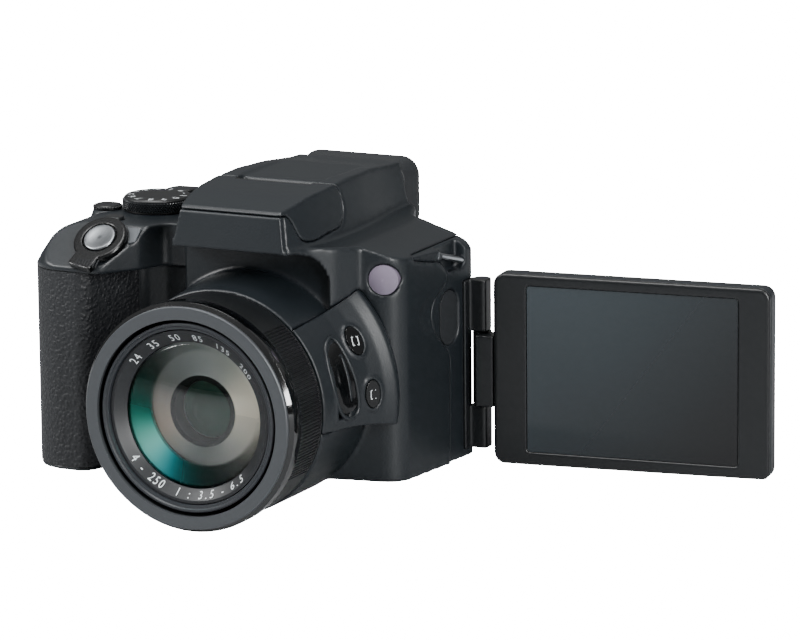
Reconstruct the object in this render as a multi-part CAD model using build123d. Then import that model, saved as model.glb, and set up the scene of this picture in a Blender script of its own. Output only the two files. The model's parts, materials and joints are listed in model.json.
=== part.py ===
"""A bridge camera, lens retracted, with its screen swung out to the side and facing forward.

Origin: mouth of the tripod socket, on the base, below the lens axis. +X points to the hinge side,
the lens looks along -Y, +Z is up. All lengths are millimetres.
"""
from math import cos, radians, sin, tan
import os

from build123d import *

os.makedirs("parts", exist_ok=True)

# body
side_x = 47.6          # lens axis to the hinge side
grip_x = 69.3          # lens axis to the grip side
rear_y = 19.4          # back of the body, under the closed screen
thumb_y = 27.0         # back of the grip's thumb rest
front_y = 30.0         # reach of the front face under the lens
grip_y = 46.7          # reach of the grip
nose_y = 46.4          # reach of the nose over the lens
hump_z = 86.2          # top of the viewfinder hump
deck_z = 72.5          # control deck
arch_foot_z = 51.0     # where the arch over the lens starts
cover_z = 66.0         # seam under the top cover
grip_seam_z = 59.7     # seam between the grip's skin and the deck
wall = 2.2             # moulded walls
skin_t = 1.2           # rubber on the grip
seam = 0.12            # gap along a seam
over = 1.0             # overrun of a cut
far = 150.0            # reach of a cutting profile
split_y = 12.0         # seam between front and rear shells
fit = 0.05             # radial clearance of turning fits
slip = 0.15            # clearance round buttons and doors
side_step = 0.4        # the side cover lies this deep behind the S-shaped seam

# lens
lens_z = 26.5          # height of the lens axis
lens_front_y = 73.4    # front of the grey ring
barrel_r = 33.0        # ribbed barrel
barrel_y = 66.6        # front of the ribs
ribs_end_y = 52.4      # back of the ribs
sleeve_drop = 1.2      # from the ribs down to the sleeve inside the collar
sleeve_t = 0.8         # its wall
gloss_step = 0.7       # the gloss ring stands this far out of the ribs
gloss_y = 72.2         # front of the gloss ring
rib_pitch_deg = 1.75
rib_depth = 0.35
rib_share = 0.5
rib_from_deg = -31.0
rib_to_deg = 50.0
collar_step = 0.4      # from the ribs out to the collar's front edge
collar_swell = 2.2     # and on to its root at the body
collar_y = 52.0
collar_gap = 0.4       # round the sleeve
barrel_end_y = 27.3    # back of the wide barrel, where the base begins
barrel_end_t = 1.3
mount_y = 10.0         # back end of the neck, on the chassis
zoom_gap = 0.8         # radial gap in front between the sleeve and the outer zoom tube
tube_1_t = 1.3         # outer zoom tube's wall
tube_1_end_y = 29.0
tube_gap = 1.2         # radial gap between the two zoom tubes
tube_2_t = 1.4         # inner zoom tube's wall
tube_2_end_y = 29.3
tube_flange = 2.6      # length of the guide flanges behind
ring_lap = 0.1         # the grey ring covers the outer tube's bore by this much
ring_edge = 0.4        # from the ribs in to its outer edge
name_border = 2.2      # from the inner tube in to the name ring
glass_border = 4.1     # width of the name ring
glass_y = 68.6         # rim of the front glass
glass_rise = 2.6
glass_t = 2.4
cone_border = 10.2     # from the front glass in to the second group's opening
cone_y = 49.0          # its depth
bush_l = 7.0           # tripod bush, from the base up
bush_gap = 0.7         # over it, under the barrel's neck

sleeve_r = barrel_r - sleeve_drop
sleeve_bore_r = sleeve_r - sleeve_t
gloss_r = barrel_r + gloss_step
collar_tip_r = barrel_r + collar_step
collar_r = collar_tip_r + collar_swell
collar_bore_r = sleeve_r + collar_gap
tube_1_r = sleeve_bore_r - zoom_gap
tube_1_bore_r = tube_1_r - tube_1_t
tube_2_r = tube_1_bore_r - tube_gap
tube_2_bore_r = tube_2_r - tube_2_t
ring_in_r = tube_1_bore_r - ring_lap
ring_out_r = barrel_r - ring_edge
name_out_r = tube_2_r - name_border
glass_r = name_out_r - glass_border
cone_r = glass_r - cone_border
neck_r = lens_z - bush_l - bush_gap

# screen
hinge_x = 49.4
hinge_y = 20.6
knuckle_r = 2.8
knuckle_edge_r = 1.0
knuckle_low_z = 2.7
arm_low_z = 15.6
arm_high_z = 38.0
knuckle_high_z = 53.6
open_deg = 7.0         # how far short of straight the open screen stops
panel_s = 5.8          # hinge axis to the screen's edge
panel_w = 84.2
panel_z = 28.1         # swivel axis
panel_h = 57.4
panel_back = 0.6       # back of the panel behind the hinge axis, screen open
panel_t = 8.0
panel_r = 3.3
bezel_t = 1.6

# flash lid
lid_pivot_y = 19.5
lid_pivot_z = 80.3
lid_r = 7.0

# controls
dial_x, dial_y, dial_r, dial_h = 42.7, 9.2, 10.1, 4.2
wheel_x, wheel_y, wheel_r, wheel_h = 56.9, 14.3, 4.2, 1.2
shutter_r = 4.9
lever_r = 8.2
lever_h = 2.2
slope_low_y, slope_low_z = 46.5, 61.5
slope_high_y = 32.5
press = 0.6            # travel of a button
flange_t = 0.5
flange_over = 0.6


def rounded(points):
    """A closed outline of (x, y, corner radius) points, as a face on XY."""
    shape = make_face(Polyline(*[(x, y) for x, y, _ in points], close=True))
    for x, y, r in points:
        if r:
            shape = fillet(shape.vertices().sort_by_distance((x, y, 0))[0], r)
    return shape


def scaled(shares, sx, sy, sr=1):
    return [(x * sx, y * sy, r * sr) for x, y, r in shares]


def inset_by(shape, amount):
    return offset(shape, -amount, kind=Kind.INTERSECTION) if amount else shape


def up(shape, z0, z1):
    """A face on XY, made solid from z0 to z1."""
    return extrude(Pos(0, 0, z0) * shape, z1 - z0, dir=(0, 0, 1))


def along_y(shape, y0, y1):
    """A face drawn as (x, z), made solid from y0 to y1."""
    return extrude(Plane.XZ.offset(-y0) * shape, y1 - y0, dir=(0, 1, 0))


def along_x(shape, x0, x1):
    """A face drawn as (y, z), made solid from x0 to x1."""
    return extrude(Plane.YZ.offset(x0) * shape, x1 - x0, dir=(1, 0, 0))


def box(x0, x1, y0, y1, z0, z1):
    return Pos((x0 + x1) / 2, (y0 + y1) / 2, (z0 + z1) / 2) * Box(x1 - x0, y1 - y0, z1 - z0)


def rod(x, y, z, radius, length, axis="Z"):
    """A cylinder from a point, along one axis; a negative length runs backwards."""
    turn = {"Z": (0, 0, 0), "Y": (-90, 0, 0), "X": (0, 90, 0)}[axis]
    rise = {"Z": (0, 0, 1), "Y": (0, 1, 0), "X": (1, 0, 0)}[axis]
    middle = [a + b * length / 2 for a, b in zip((x, y, z), rise)]
    return Pos(*middle) * Rot(*turn) * Cylinder(radius, abs(length))


lens_axis = Axis((0, 0, lens_z), (0, 1, 0))
lens_plane = Plane(origin=(0, 0, lens_z), x_dir=(0, 1, 0), z_dir=(1, 0, 0))


def turned(points, low_deg=None, high_deg=None):
    """A profile of (y, radius) points turned about the lens axis, all round or over a sector."""
    profile = lens_plane * make_face(Polyline(*points, close=True))
    if low_deg is None:
        return revolve(profile, lens_axis)
    profile = profile.rotate(lens_axis, 90 - high_deg)
    return revolve(profile, lens_axis, high_deg - low_deg)


# body form

plan_shares = (
    (1, 1.0, 0.021), (0.905, -1.129, 0.168), (0.42, -1.351, 0), (0, -1.521, 0),
    (-0.693, -1.186, 0.126), (-0.84, -1.263, 0.105),
)
grip_shares = (
    (-0.687, -1, 0.072), (-0.981, -1, 0.185), (-1, 0.086, 0.866), (-0.996, 0.578, 0.087),
)
rear_shares = (
    (-0.63, 1.392, 0.084), (-0.462, 1.701, 0.063), (0.462, 1.701, 0.063), (0.567, 1.082, 0.105),
)
nose_shares = (
    (0.382, -1, 0.042), (0.454, -0.808, 0.21), (0.576, -0.679, 0.168), (0.714, -0.431, 0),
    (0.378, 0.108, 0), (-0.378, 0.108, 0),
    (-0.481, -0.323, 0), (-0.481, -0.647, 0.084), (-0.45, -0.808, 0.168), (-0.382, -1, 0.042),
)
front_shares = (
    (1.008, 0, 0.025), (1.008, 0.749, 0.126), (0.84, 0.78, 0.21), (0.63, 0.813, 0.252),
    (0.42, 0.828, 0), (-0.42, 0.841, 0),
)
# the hump's right edge in plan, at its top
hump_shares = (
    (0.294, -1.024), (0.345, -0.841), (0.376, -0.668), (0.399, -0.323), (0.391, 0),
    (0.353, 0.431), (0.345, 0.733),
)
hump_spread = 4.6      # how much further out its sides stand at the seam under the top cover
deck_shares = ((-1.004, 1.0, 0.245), (-1.004, 0, 0.065))
side_shares = (
    (-1.2, 0, 0), (-1.2, 0.798, 0), (-1, 0.819, 0.013), (-0.961, 0.94, 0.013),
    (-0.933, 0.955, 0.017),
    (-0.647, 0.985, 0.647), (-0.129, 1, 0.862), (0.259, 0.993, 0.647), (0.56, 0.977, 0.431),
    (0.711, 0.974, 0), (0.711, 0, 0),
)
tunnel_shares = (
    (0.538, 0.348, 0), (0.538, 0.817, 0.21), (-0.538, 0.817, 0.21), (-0.538, 0.348, 0),
)
recess_gap = 1.2       # round the closed screen
recess_left_x = hinge_x - panel_s - panel_w - recess_gap
recess_top_z = panel_z + panel_h / 2 + recess_gap


def body_plan():
    right = scaled(plan_shares, side_x, rear_y, side_x)
    grip = scaled(grip_shares, grip_x, grip_y, grip_x)
    rear = scaled(rear_shares, side_x, rear_y, side_x)
    return rounded(right + grip + rear)


def front_outline():
    middle = scaled(front_shares, side_x, hump_z, side_x)
    left = scaled(deck_shares, grip_x, deck_z, grip_x)
    return rounded(middle + left)


def nose_plan():
    return rounded(scaled(nose_shares, side_x, nose_y, side_x))


def side_outline():
    return rounded(scaled(side_shares, nose_y, hump_z, nose_y))


def hump_plan(grow):
    """The hump in plan, boat-shaped, its sides moved out by an amount."""
    right = [(x * side_x + grow, y * nose_y) for x, y in hump_shares]
    left = [(-x, y) for x, y in reversed(right)]
    return make_face(Spline(*right) + Polyline(right[-1], left[0]) + Spline(*left) + Polyline(left[-1], right[0]))


def hump_block(inset):
    """The hump from inside the body to above its top, with leaning sides."""
    lean = hump_spread / (hump_z - cover_z)
    low_z, high_z = cover_z - wall - over, hump_z + wall
    low = Pos(0, 0, low_z) * hump_plan(lean * (hump_z - low_z) - inset)
    high = Pos(0, 0, high_z) * hump_plan(lean * (hump_z - high_z) - inset)
    return loft([low, high], ruled=True)


def body_form(inset):
    """The whole body's outer form, or the same form drawn in by a wall."""
    high = hump_z + over
    form = up(inset_by(body_plan(), inset), inset, high)
    form += up(inset_by(nose_plan(), inset), arch_foot_z + inset, high)
    form &= along_y(inset_by(front_outline(), inset), -far, far) + hump_block(inset)
    form &= along_x(inset_by(side_outline(), inset), -far, far)
    form -= along_y(inset_by(tunnel(), -inset), -far, -front_y + inset)
    form -= box(recess_left_x - inset, far, rear_y - inset, far, -far, recess_top_z + inset)
    form -= slope_cut(inset)
    return form


def tunnel():
    return rounded(scaled(tunnel_shares, side_x, hump_z, side_x))


slope_deg = 38.17


def slope_plane():
    """The sloping front of the deck: local +Z stands out of it, local +Y climbs it."""
    a = radians(slope_deg)
    return Plane(origin=(0, -slope_low_y, slope_low_z), x_dir=(1, 0, 0), z_dir=(0, -sin(a), cos(a)))


def slope_cut(inset):
    cut = slope_plane() * Pos(0, 0, far / 2 - inset) * Box(far * 2, far, far)
    return cut & box(-far, -side_x / 2, -far, far, 0, far)


# the S-shaped seam on the hinge side, as (y, z) from front to base
seam_shares = (
    (-0.517, 0.773), (-0.31, 0.753), (-0.073, 0.725), (0.056, 0.701), (0.095, 0.647),
    (-0.05, 0.587), (-0.078, 0.516), (0.009, 0.448), (0.112, 0.394), (0.123, 0.325),
)


def side_region(grow=0):
    """Everything behind the S-shaped seam, on the hinge side."""
    places = [(y * nose_y - grow, z * hump_z) for y, z in seam_shares]
    curve = Spline(*places)
    low = (places[-1][0], -over)
    rest = Polyline(places[-1], low, (rear_y + over, -over), (rear_y + over, places[0][1]), places[0])
    return along_x(make_face(curve + rest), side_x * 0.798, far)



saved = {}


def save(name, shape):
    """Keep one sub-part and write its STEP file."""
    saved[name] = shape
    export_step(shape, f"parts/{name}.step")


form = body_form(0)
core = body_form(wall)
shell = form - core
side_form = body_form(side_step)

# regions that divide the shell
deck_in_x = side_x * 0.483      # seam between the deck and the hump
deck_zone = box(-far, -deck_in_x, -far, far, grip_seam_z, far)
top_zone = box(-deck_in_x, far, -far, far, cover_z, far)
side_zone = side_region() - top_zone
front_zone = box(-far, far, -far, split_y, -far, far) - deck_zone - top_zone - side_zone
rear_zone = box(-far, far, split_y, far, -far, far) - deck_zone - top_zone - side_zone

skin_in_x = grip_x * 0.584    # where the skin ends beside the lens
skin_end_y = grip_y * 0.171      # and on the outer side
skin_zone = box(-far, -skin_in_x, -far, skin_end_y, skin_t, grip_seam_z)


def make_grip_skin():
    """Rubber skin round the grip, let into the shell."""
    plan = body_plan()
    band = up(plan, 0, deck_z) - up(inset_by(plan, skin_t), -over, deck_z + over)
    return form & band & skin_zone


# lens collar and side pad
collar_lift = 1.1
collar_back_y = 25.0


def make_collar():
    """Collar that swells and rises towards the body."""
    tip = Plane(origin=(0, -collar_y, lens_z), z_dir=(0, 1, 0)) * Circle(collar_tip_r)
    root = Plane(origin=(0, -collar_back_y, lens_z + collar_lift), z_dir=(0, 1, 0)) * Circle(
        collar_r - collar_lift
    )
    return loft([tip, root])


pad_low_deg, pad_high_deg = -11.0, 45.0
flare_shares = (
    (-1.112, 0.718), (-0.948, 0.752), (-0.797, 0.784), (-0.69, 0.83), (-0.603, 0.884),
    (-0.539, 0.94),
)


def flare_profile(grow=0):
    """The side pad's swelling line, from the collar's tip to the body's front face."""
    line = [(y * nose_y, r * nose_y + grow) for y, r in flare_shares]
    back = flare_shares[-1][0] * nose_y + wall
    return [(line[0][0], collar_bore_r)] + line + [(back, line[-1][1]), (back, collar_bore_r)]


def flare_r(y):
    """The pad's radius at a reach y in front of the base's middle."""
    line = [(a * nose_y, r * nose_y) for a, r in flare_shares]
    for (a, p), (b, q) in zip(line, line[1:]):
        if a <= -y <= b:
            return p + (q - p) * (-y - a) / (b - a)
    return line[-1][1]


def make_flare():
    """The raised pad on the collar's side, before its pockets are cut."""
    pad = turned(flare_profile(), pad_low_deg, pad_high_deg)
    edge = Plane(origin=(side_x * 0.693, -nose_y * 1.078, lens_z + side_x * 0.263), x_dir=(1, 0, 0),
                 z_dir=(0, -0.03 * nose_y, 0.022 * nose_y * 0.991))
    return pad - edge * Pos(0, 0, far / 2) * Box(far, far, far)


def on_flare(reach, deg):
    """A plane on the pad, its +Z out of the surface, +Y round the lens."""
    step = over
    r0 = flare_r(reach)
    slope = (flare_r(reach - step) - flare_r(reach + step)) / (2 * step)
    a = radians(deg)
    origin = (r0 * cos(a), -reach, lens_z + r0 * sin(a))
    round_dir = Vector(-sin(a), 0, cos(a))
    along = Vector(slope * cos(a), 1, slope * sin(a)).normalized()
    return Plane(origin=origin, x_dir=along, z_dir=along.cross(round_dir))


pad_upper_y, pad_upper_deg = 33.0, 27.5
pad_lower_y, pad_lower_deg = 31.4, 3.0
pad_button_long, pad_button_wide = 8.6, 5.2
pad_lower_scale_share = 0.94
pad_hole_l = 7.5       # depth of their holes
pad_seam_deg = 0.25    # gap at the pad's ends
trough_low_deg, trough_high_deg = -5.0, 23.5
trough_front_y, trough_back_y = 45.2, 40.0
trough_depth = 1.3


def pad_button(reach, deg, share, grow=0, deep=0):
    """An oval button, or with grow the hole for it, square to the pad."""
    half_w = pad_button_wide * share / 2 + grow
    half_l = pad_button_long * share / 2 + grow
    oval = Ellipse(half_w, half_l)
    place = on_flare(reach, deg)
    if grow:
        return place * Pos(0, 0, -deep) * extrude(oval, deep + wall)
    body = extrude(oval, wall + press / 2, dir=(0, 0, 1))
    return place * Pos(0, 0, -wall) * body


pad_rim_w, pad_rim_h = 0.9, 0.4    # raised rims round the buttons and the trough
pad_rim_deg = 1.3


def pad_rims():
    """The raised rims on the pad, before its holes are cut."""
    wide, long = pad_button_wide / 2 + pad_rim_w, pad_button_long / 2 + pad_rim_w
    rims = []
    for reach, deg in ((pad_upper_y, pad_upper_deg), (pad_lower_y, pad_lower_deg)):
        rims.append(on_flare(reach, deg) * Pos(0, 0, -wall) * extrude(Ellipse(wide, long), wall + pad_rim_h))
    front, back = trough_front_y + pad_rim_w, trough_back_y - pad_rim_w
    floor = collar_bore_r + wall
    band = [(-front, floor), (-back, floor), (-back, flare_r(back) + pad_rim_h), (-front, flare_r(front) + pad_rim_h)]
    return rims + [turned(band, trough_low_deg - pad_rim_deg, trough_high_deg + pad_rim_deg)]


def make_finger_rest(grow=0):
    """Curved rest in the pad's trough, hollowed along its middle."""
    front = -trough_front_y + slip - grow
    back = -trough_back_y - slip + grow
    floor = flare_r(trough_front_y) - trough_depth
    low, high = trough_low_deg - grow / 2, trough_high_deg + grow / 2
    if grow:
        return turned([(front, floor), (back, floor), (back, far / 2), (front, far / 2)], low, high)
    mid = (front + back) / 2
    top_f = flare_r(-front) - trough_depth / 4
    top_b = flare_r(-back) - trough_depth / 4
    rise = (top_f + top_b) / 2 - trough_depth / 3
    rest = [(front, floor), (back, floor), (back, top_b), (mid, rise), (front, top_f)]
    return turned(rest, low + over, high - over)


# lens


def make_outer_barrel():
    """Fixed barrel: ribs in front, a plain sleeve inside the collar and a flange on the chassis."""
    profile = [
        (-barrel_y, sleeve_bore_r), (-barrel_y, barrel_r), (-ribs_end_y, barrel_r), (-ribs_end_y, sleeve_r),
        (-barrel_end_y, sleeve_r), (-barrel_end_y, neck_r), (mount_y, neck_r), (mount_y, neck_r - over),
        (-barrel_end_y - barrel_end_t, neck_r - over), (-barrel_end_y - barrel_end_t, sleeve_bore_r),
    ]
    barrel = turned(profile)
    long = barrel_y - ribs_end_y - 2 * rib_depth * 2
    groove = Box(rib_depth * 2, long, barrel_r * radians(rib_pitch_deg) * rib_share)
    count = int((rib_to_deg - rib_from_deg) / rib_pitch_deg) + 1
    cuts = []
    for i in range(count):
        turn = -(rib_from_deg + i * rib_pitch_deg)
        middle_y = -(barrel_y + ribs_end_y) / 2
        cuts.append(Pos(0, middle_y, lens_z) * Rot(0, turn, 0) * Pos(barrel_r, 0, 0) * groove)
    return barrel - cuts


gloss_edge = 0.5       # bevel at the gloss ring's back
gloss_front = 1.0      # and at its front


def make_barrel_ring():
    """Gloss ring on the front of the fixed barrel."""
    return turned([
        (-barrel_y, sleeve_bore_r), (-barrel_y, gloss_r - gloss_edge / 2), (-barrel_y - gloss_edge, gloss_r),
        (-gloss_y + gloss_front, gloss_r), (-gloss_y, ring_out_r), (-gloss_y, sleeve_bore_r),
    ])


def make_zoom_tube_outer():
    """Outer zoom tube, running in the fixed barrel on its rear flange."""
    front = -gloss_y - seam
    rear = -tube_1_end_y
    return turned([
        (front, tube_1_bore_r), (front, tube_1_r), (rear - tube_flange, tube_1_r),
        (rear - tube_flange, sleeve_bore_r - fit), (rear, sleeve_bore_r - fit), (rear, tube_1_bore_r),
    ])


ring_bevel = 0.25       # broken edges of the lens rings


def make_front_ring():
    """Grey ring on the front of the outer zoom tube."""
    back = -gloss_y - seam
    return turned([
        (back, ring_in_r), (back, ring_out_r), (-lens_front_y + ring_bevel, ring_out_r),
        (-lens_front_y, ring_out_r - ring_bevel), (-lens_front_y, ring_in_r),
    ])


# the stepped front of the inner tube, as (depth, drop) from its front and its radius
tube_2_steps = ((0, 0.3), (0, 0.8), (0.45, 1.1), (0.45, 1.8), (1.0, 2.0))
tube_2_front_y = 72.6
tube_2_lip = 2.0       # depth of the lip in front of the name ring
name_gap = 1.0         # from the inner tube's inner step to the glass's back


def make_zoom_tube_inner():
    """Inner zoom tube with stepped front rings, guided in the outer one on its rear flange."""
    rear = -tube_2_end_y
    steps = [(-tube_2_front_y + depth, tube_2_r - drop) for depth, drop in tube_2_steps]
    inner_y = -glass_y + glass_t + name_gap
    lip_y = steps[-1][0] + tube_2_lip
    return turned([
        (rear, tube_2_bore_r), (rear, tube_1_bore_r - fit), (rear - tube_flange, tube_1_bore_r - fit),
        (rear - tube_flange, tube_2_r), (-tube_2_front_y + ring_bevel, tube_2_r), *steps,
        (lip_y, steps[-1][1]), (lip_y, name_out_r),
        (inner_y, name_out_r), (inner_y, tube_2_bore_r),
    ])


name_flat = 1.0        # flat rim round the dish


def make_name_ring():
    """Dished ring round the front glass."""
    back = -glass_y + glass_t
    front = -tube_2_front_y + tube_2_steps[-1][0] + ring_bevel
    return turned([
        (back, glass_r + seam), (-glass_y - seam, glass_r + seam), (-glass_y - ring_bevel, glass_r + ring_bevel),
        (front, name_out_r - name_flat), (front, name_out_r - seam), (back, name_out_r - seam),
    ])


def dome(y_rim, radius, rise, thick, shrink=0):
    """A lens element, domed to the front, its rim at y_rim."""
    r = radius - shrink
    curve = (r * r + rise * rise) / (2 * rise)
    ball = Pos(0, -y_rim - rise + curve, lens_z) * Sphere(curve)
    slab = rod(0, -y_rim - rise - over, lens_z, r, rise + thick + over, "Y")
    return ball & slab


seat_rim = 2.0         # the second group's seat outside its opening
seat_l = 4.0
cone_t = 1.0           # the cone's wall


def make_inner_cone():
    """Blackened cone behind the front glass, with the seat of the second group at its end."""
    front = -glass_y + glass_t + seam
    back = -cone_y
    return turned([
        (front, glass_r), (front, name_out_r - seam), (front + cone_t, name_out_r - seam),
        (front + cone_t, glass_r + cone_t), (back, cone_r + seat_rim), (back + seat_l, cone_r + seat_rim),
        (back + seat_l, cone_r + seat_rim - cone_t), (back + cone_t, cone_r + seat_rim - cone_t),
        (back + cone_t, cone_r), (back, cone_r),
    ])


second_rise = 0.9
second_t = 3.0


def make_second_glass():
    rim_y = cone_y - 2 * cone_t - seam
    return dome(rim_y, cone_r + seat_rim - cone_t - seam, second_rise, second_t - second_rise)



# screen

screen_place = Pos(hinge_x, hinge_y, 0) * Rot(0, 0, open_deg)
panel_front = panel_back - panel_t
panel_mid = panel_back - panel_t / 2
arm_gap = 0.3          # between the arm and the screen, and round its turning parts
arm_end_s = panel_s - arm_gap
arm_bevel = 0.5
pin_room = 0.45        # beyond the ends of pins and shaft
pin_r = 1.4
pin_l = 2.4
shaft_r = 1.9
shaft_l = 5.0


leaf_t = 1.0
leaf_y = 13.8          # front edge of the leaf that joins the knuckles


def hinge_parts(grow=0):
    """Two boxy knuckles on a leaf let into the body's side; grow makes the cutter for their seat."""
    leaf_x = side_x - side_step - leaf_t
    front = hinge_y - knuckle_r - over
    parts = [box(leaf_x - grow, side_x - side_step + grow, leaf_y - grow, hinge_y - knuckle_r + grow,
                 knuckle_low_z - grow, knuckle_high_z + grow)]
    for low, high in ((knuckle_low_z, arm_low_z - slip), (arm_high_z + slip, knuckle_high_z)):
        block = box(leaf_x - grow, hinge_x + knuckle_r, front - grow, hinge_y, low - grow, high + grow)
        edge = block.edges().filter_by(Axis.Z).sort_by_distance((hinge_x + knuckle_r, front, low))[0]
        parts.append(fillet(edge, knuckle_edge_r))
        parts.append(rod(hinge_x, hinge_y, low - grow, knuckle_r + grow, high - low + 2 * grow))
    return parts


def hinge_seat():
    """What the hinge needs out of the body: its seat and room for the turning arm."""
    return hinge_parts(seam) + [rod(hinge_x, hinge_y, knuckle_low_z, knuckle_r + arm_gap,
                                    knuckle_high_z - knuckle_low_z)]


def make_hinge_bracket():
    leaf, *rest = hinge_parts()
    bores = rod(hinge_x, hinge_y, arm_low_z - pin_l - pin_room, pin_r + fit, pin_l + over)
    bores += rod(hinge_x, hinge_y, arm_high_z - over, pin_r + fit, pin_l + over + pin_room)
    return leaf + rest - bores


def make_screen_arm():
    """Turning arm: pins up and down in the knuckles, a shaft out into the screen."""
    barrel = rod(0, 0, arm_low_z, knuckle_r, arm_high_z - arm_low_z)
    block = box(0, arm_end_s, panel_front + arm_bevel, 0, arm_low_z + arm_bevel, arm_high_z - arm_bevel)
    pins = rod(0, 0, arm_low_z - pin_l, pin_r, arm_high_z - arm_low_z + 2 * pin_l)
    shaft = rod(arm_end_s - over, panel_mid, panel_z, shaft_r, shaft_l + over, "X")
    return screen_place * (barrel + block + pins + shaft)


def panel_block(front, back, grow=0):
    """The screen's rounded slab between two depths."""
    face = Plane.XZ * Pos(panel_s + panel_w / 2, panel_z) * RectangleRounded(
        panel_w - 2 * grow, panel_h - 2 * grow, panel_r - grow)
    return extrude(Pos(0, back, 0) * face, back - front, dir=(0, -1, 0))


window_left = 10.2     # borders of the screen's window
window_right = 9.6
window_low = 4.0
window_high = 3.3
window_w = panel_w - window_left - window_right
window_h = panel_h - window_low - window_high
window_r = 1.0
glass_step = 0.5       # the screen's glass behind the bezel's face
screen_glass_t = 1.0
module_t = 2.2
frame_bevel = 0.5
back_round = 1.5


def window_face(shrink=0):
    """The window in the bezel, seen from the front, drawn as (s, z)."""
    s0 = panel_s + window_left + window_w / 2
    z0 = panel_z - panel_h / 2 + window_low + window_h / 2
    return Pos(s0, z0) * RectangleRounded(
        window_w - 2 * shrink, window_h - 2 * shrink, window_r - shrink)


def window_solid(front, back, shrink=0):
    face = Plane.XZ * window_face(shrink)
    return extrude(Pos(0, back, 0) * face, back - front, dir=(0, -1, 0))


def make_screen_frame():
    """Bezel round the screen's window, with softened front edges."""
    frame = panel_block(panel_front, panel_front + bezel_t)
    edges = frame.faces().sort_by(Axis.Y)[0].edges()
    frame = chamfer(edges, frame_bevel)
    return screen_place * (frame - window_solid(panel_front - over, panel_front + bezel_t + over))


def make_screen_glass():
    front = panel_front + glass_step
    return screen_place * window_solid(front, front + screen_glass_t, seam)


def make_screen_module():
    front = panel_front + glass_step + screen_glass_t + seam
    return screen_place * window_solid(front, front + module_t, seam)


def make_screen_back():
    """Back cover, softened all round, with the swivel bore and the pocket for the display."""
    back = panel_block(panel_front + bezel_t, panel_back)
    edges = back.faces().sort_by(Axis.Y)[-1].edges()
    back = fillet(edges, back_round)
    pocket = window_solid(panel_front, panel_front + glass_step + screen_glass_t + module_t + 2 * seam)
    bore = rod(panel_s - over, panel_mid, panel_z, shaft_r + fit, shaft_l + over + pin_room, "X")
    return screen_place * (back - pocket - bore)


# flash


def lid_region(grow=0, low_cut=0):
    """Side view of the flash lid, drawn as (y, z): lip over the plate, cheek, round heel at the pivot."""
    r = lid_r + grow
    heel_deg = 55.0
    heel = (-lid_pivot_y + r * cos(radians(heel_deg)), lid_pivot_z + r * sin(radians(heel_deg)))
    lip_z = hump_z * 0.94 - grow
    lip_y = -nose_y * 0.899
    cheek = (-nose_y * 0.81, lid_pivot_z - r * 0.138 / 0.151)
    low = (-nose_y * 0.668, lid_pivot_z - r * 0.172 / 0.151)
    foot = (-lid_pivot_y, lid_pivot_z - r)
    edge = Polyline((-far, lip_z), (lip_y - grow, lip_z))
    front = Spline((lip_y - grow, lip_z), (-nose_y * 0.853 - grow, lid_pivot_z - r * 0.043 / 0.151), cheek, low, foot)
    arc = ThreePointArc(foot, (-lid_pivot_y + r * cos(radians(heel_deg / 2 - 45)), lid_pivot_z + r * sin(radians(heel_deg / 2 - 45))), heel)
    top = Polyline(heel, (heel[0], far), (-far, far), (-far, lip_z))
    return along_x(make_face(edge + front + arc + top), -far, far)


lamp_z_low, lamp_z_high = 75.2, 80.2
lamp_half = 12.4
lamp_back_y = lid_pivot_y + 6.5
window_t = 1.2
ear_half = 6.0
ear_r = 2.3
ear_back_share = 0.4
ear_pin_r = 1.0
ear_pin_l = 2.6


def lamp_slot(grow=0):
    low, high = lamp_z_low - grow, lamp_z_high + grow
    return box(-lamp_half - grow, lamp_half + grow, -far, -lamp_back_y + grow, low, high)


def make_flash_lid(lid_zone):
    lid = (form & lid_zone) - lamp_slot(slip / 2)
    slot = rod(-ear_half - slip, -lid_pivot_y, lid_pivot_z, ear_r + slip, 2 * (ear_half + slip), "X")
    slot += box(-ear_half - slip, ear_half + slip, -lid_pivot_y - ear_r - slip, 0, 0, lid_pivot_z)
    lid -= slot
    for side in (-1, 1):
        start = side * (ear_half + slip + over)
        lid += rod(start, -lid_pivot_y, lid_pivot_z, ear_pin_r, -side * (ear_pin_l + slip + over), "X")
    return lid


def make_flash_window(lid_zone):
    return (lid_zone & lamp_slot()) - Pos(0, window_t, 0) * lid_zone


def make_flash_tube(lid_zone):
    return Pos(0, window_t + seam, 0) * lid_zone & lamp_slot()


def make_ear():
    """Bearing for the lid, standing in the top cover's well."""
    ear = rod(-ear_half, -lid_pivot_y, lid_pivot_z, ear_r, 2 * ear_half, "X")
    back = -lid_pivot_y + ear_r * ear_back_share
    ear += box(-ear_half, ear_half, -lid_pivot_y - ear_r, back, cover_z + over, lid_pivot_z)
    return ear - rod(-ear_half - over, -lid_pivot_y, lid_pivot_z, ear_pin_r + fit, 2 * (ear_half + over), "X")


plate_t = 1.7
well_half = 17.1       # the solid part under the flash lid
slot_half, slot_l, slot_depth = 13.0, 1.4, 3.0     # finger slot behind the lid
panel_half, panel_end_y, panel_depth = 13.5, 21.8, 1.1


def plate_region(grow=0):
    """The front plate's depth, drawn as (y, z)."""
    low_z, high_z = hump_z * 0.8, hump_z * 0.938 + grow
    low_y = -nose_y * 1.009 + plate_t + grow
    high_y = -nose_y * 0.961 + plate_t + grow
    return along_x(make_face(Polyline((-far, low_z), (low_y, low_z), (high_y, high_z), (-far, high_z), close=True)), -far, far)


def plate_zone():
    return form & plate_region() & box(-side_x, side_x, -far, 0, 0, far)


# deck controls
deck_plan_shares = (
    (-0.332, -0.557, 0), (-0.44, -0.567, 0.058), (-0.499, -0.771, 0.087), (-0.615, -1.004, 0.072),
    (-0.981, -1.004, 0.185), (-1, 0.086, 0.866), (-0.996, 0.578, 0.087), (-0.433, 0.578, 0),
    (-0.332, 0.69, 0),
)


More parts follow.
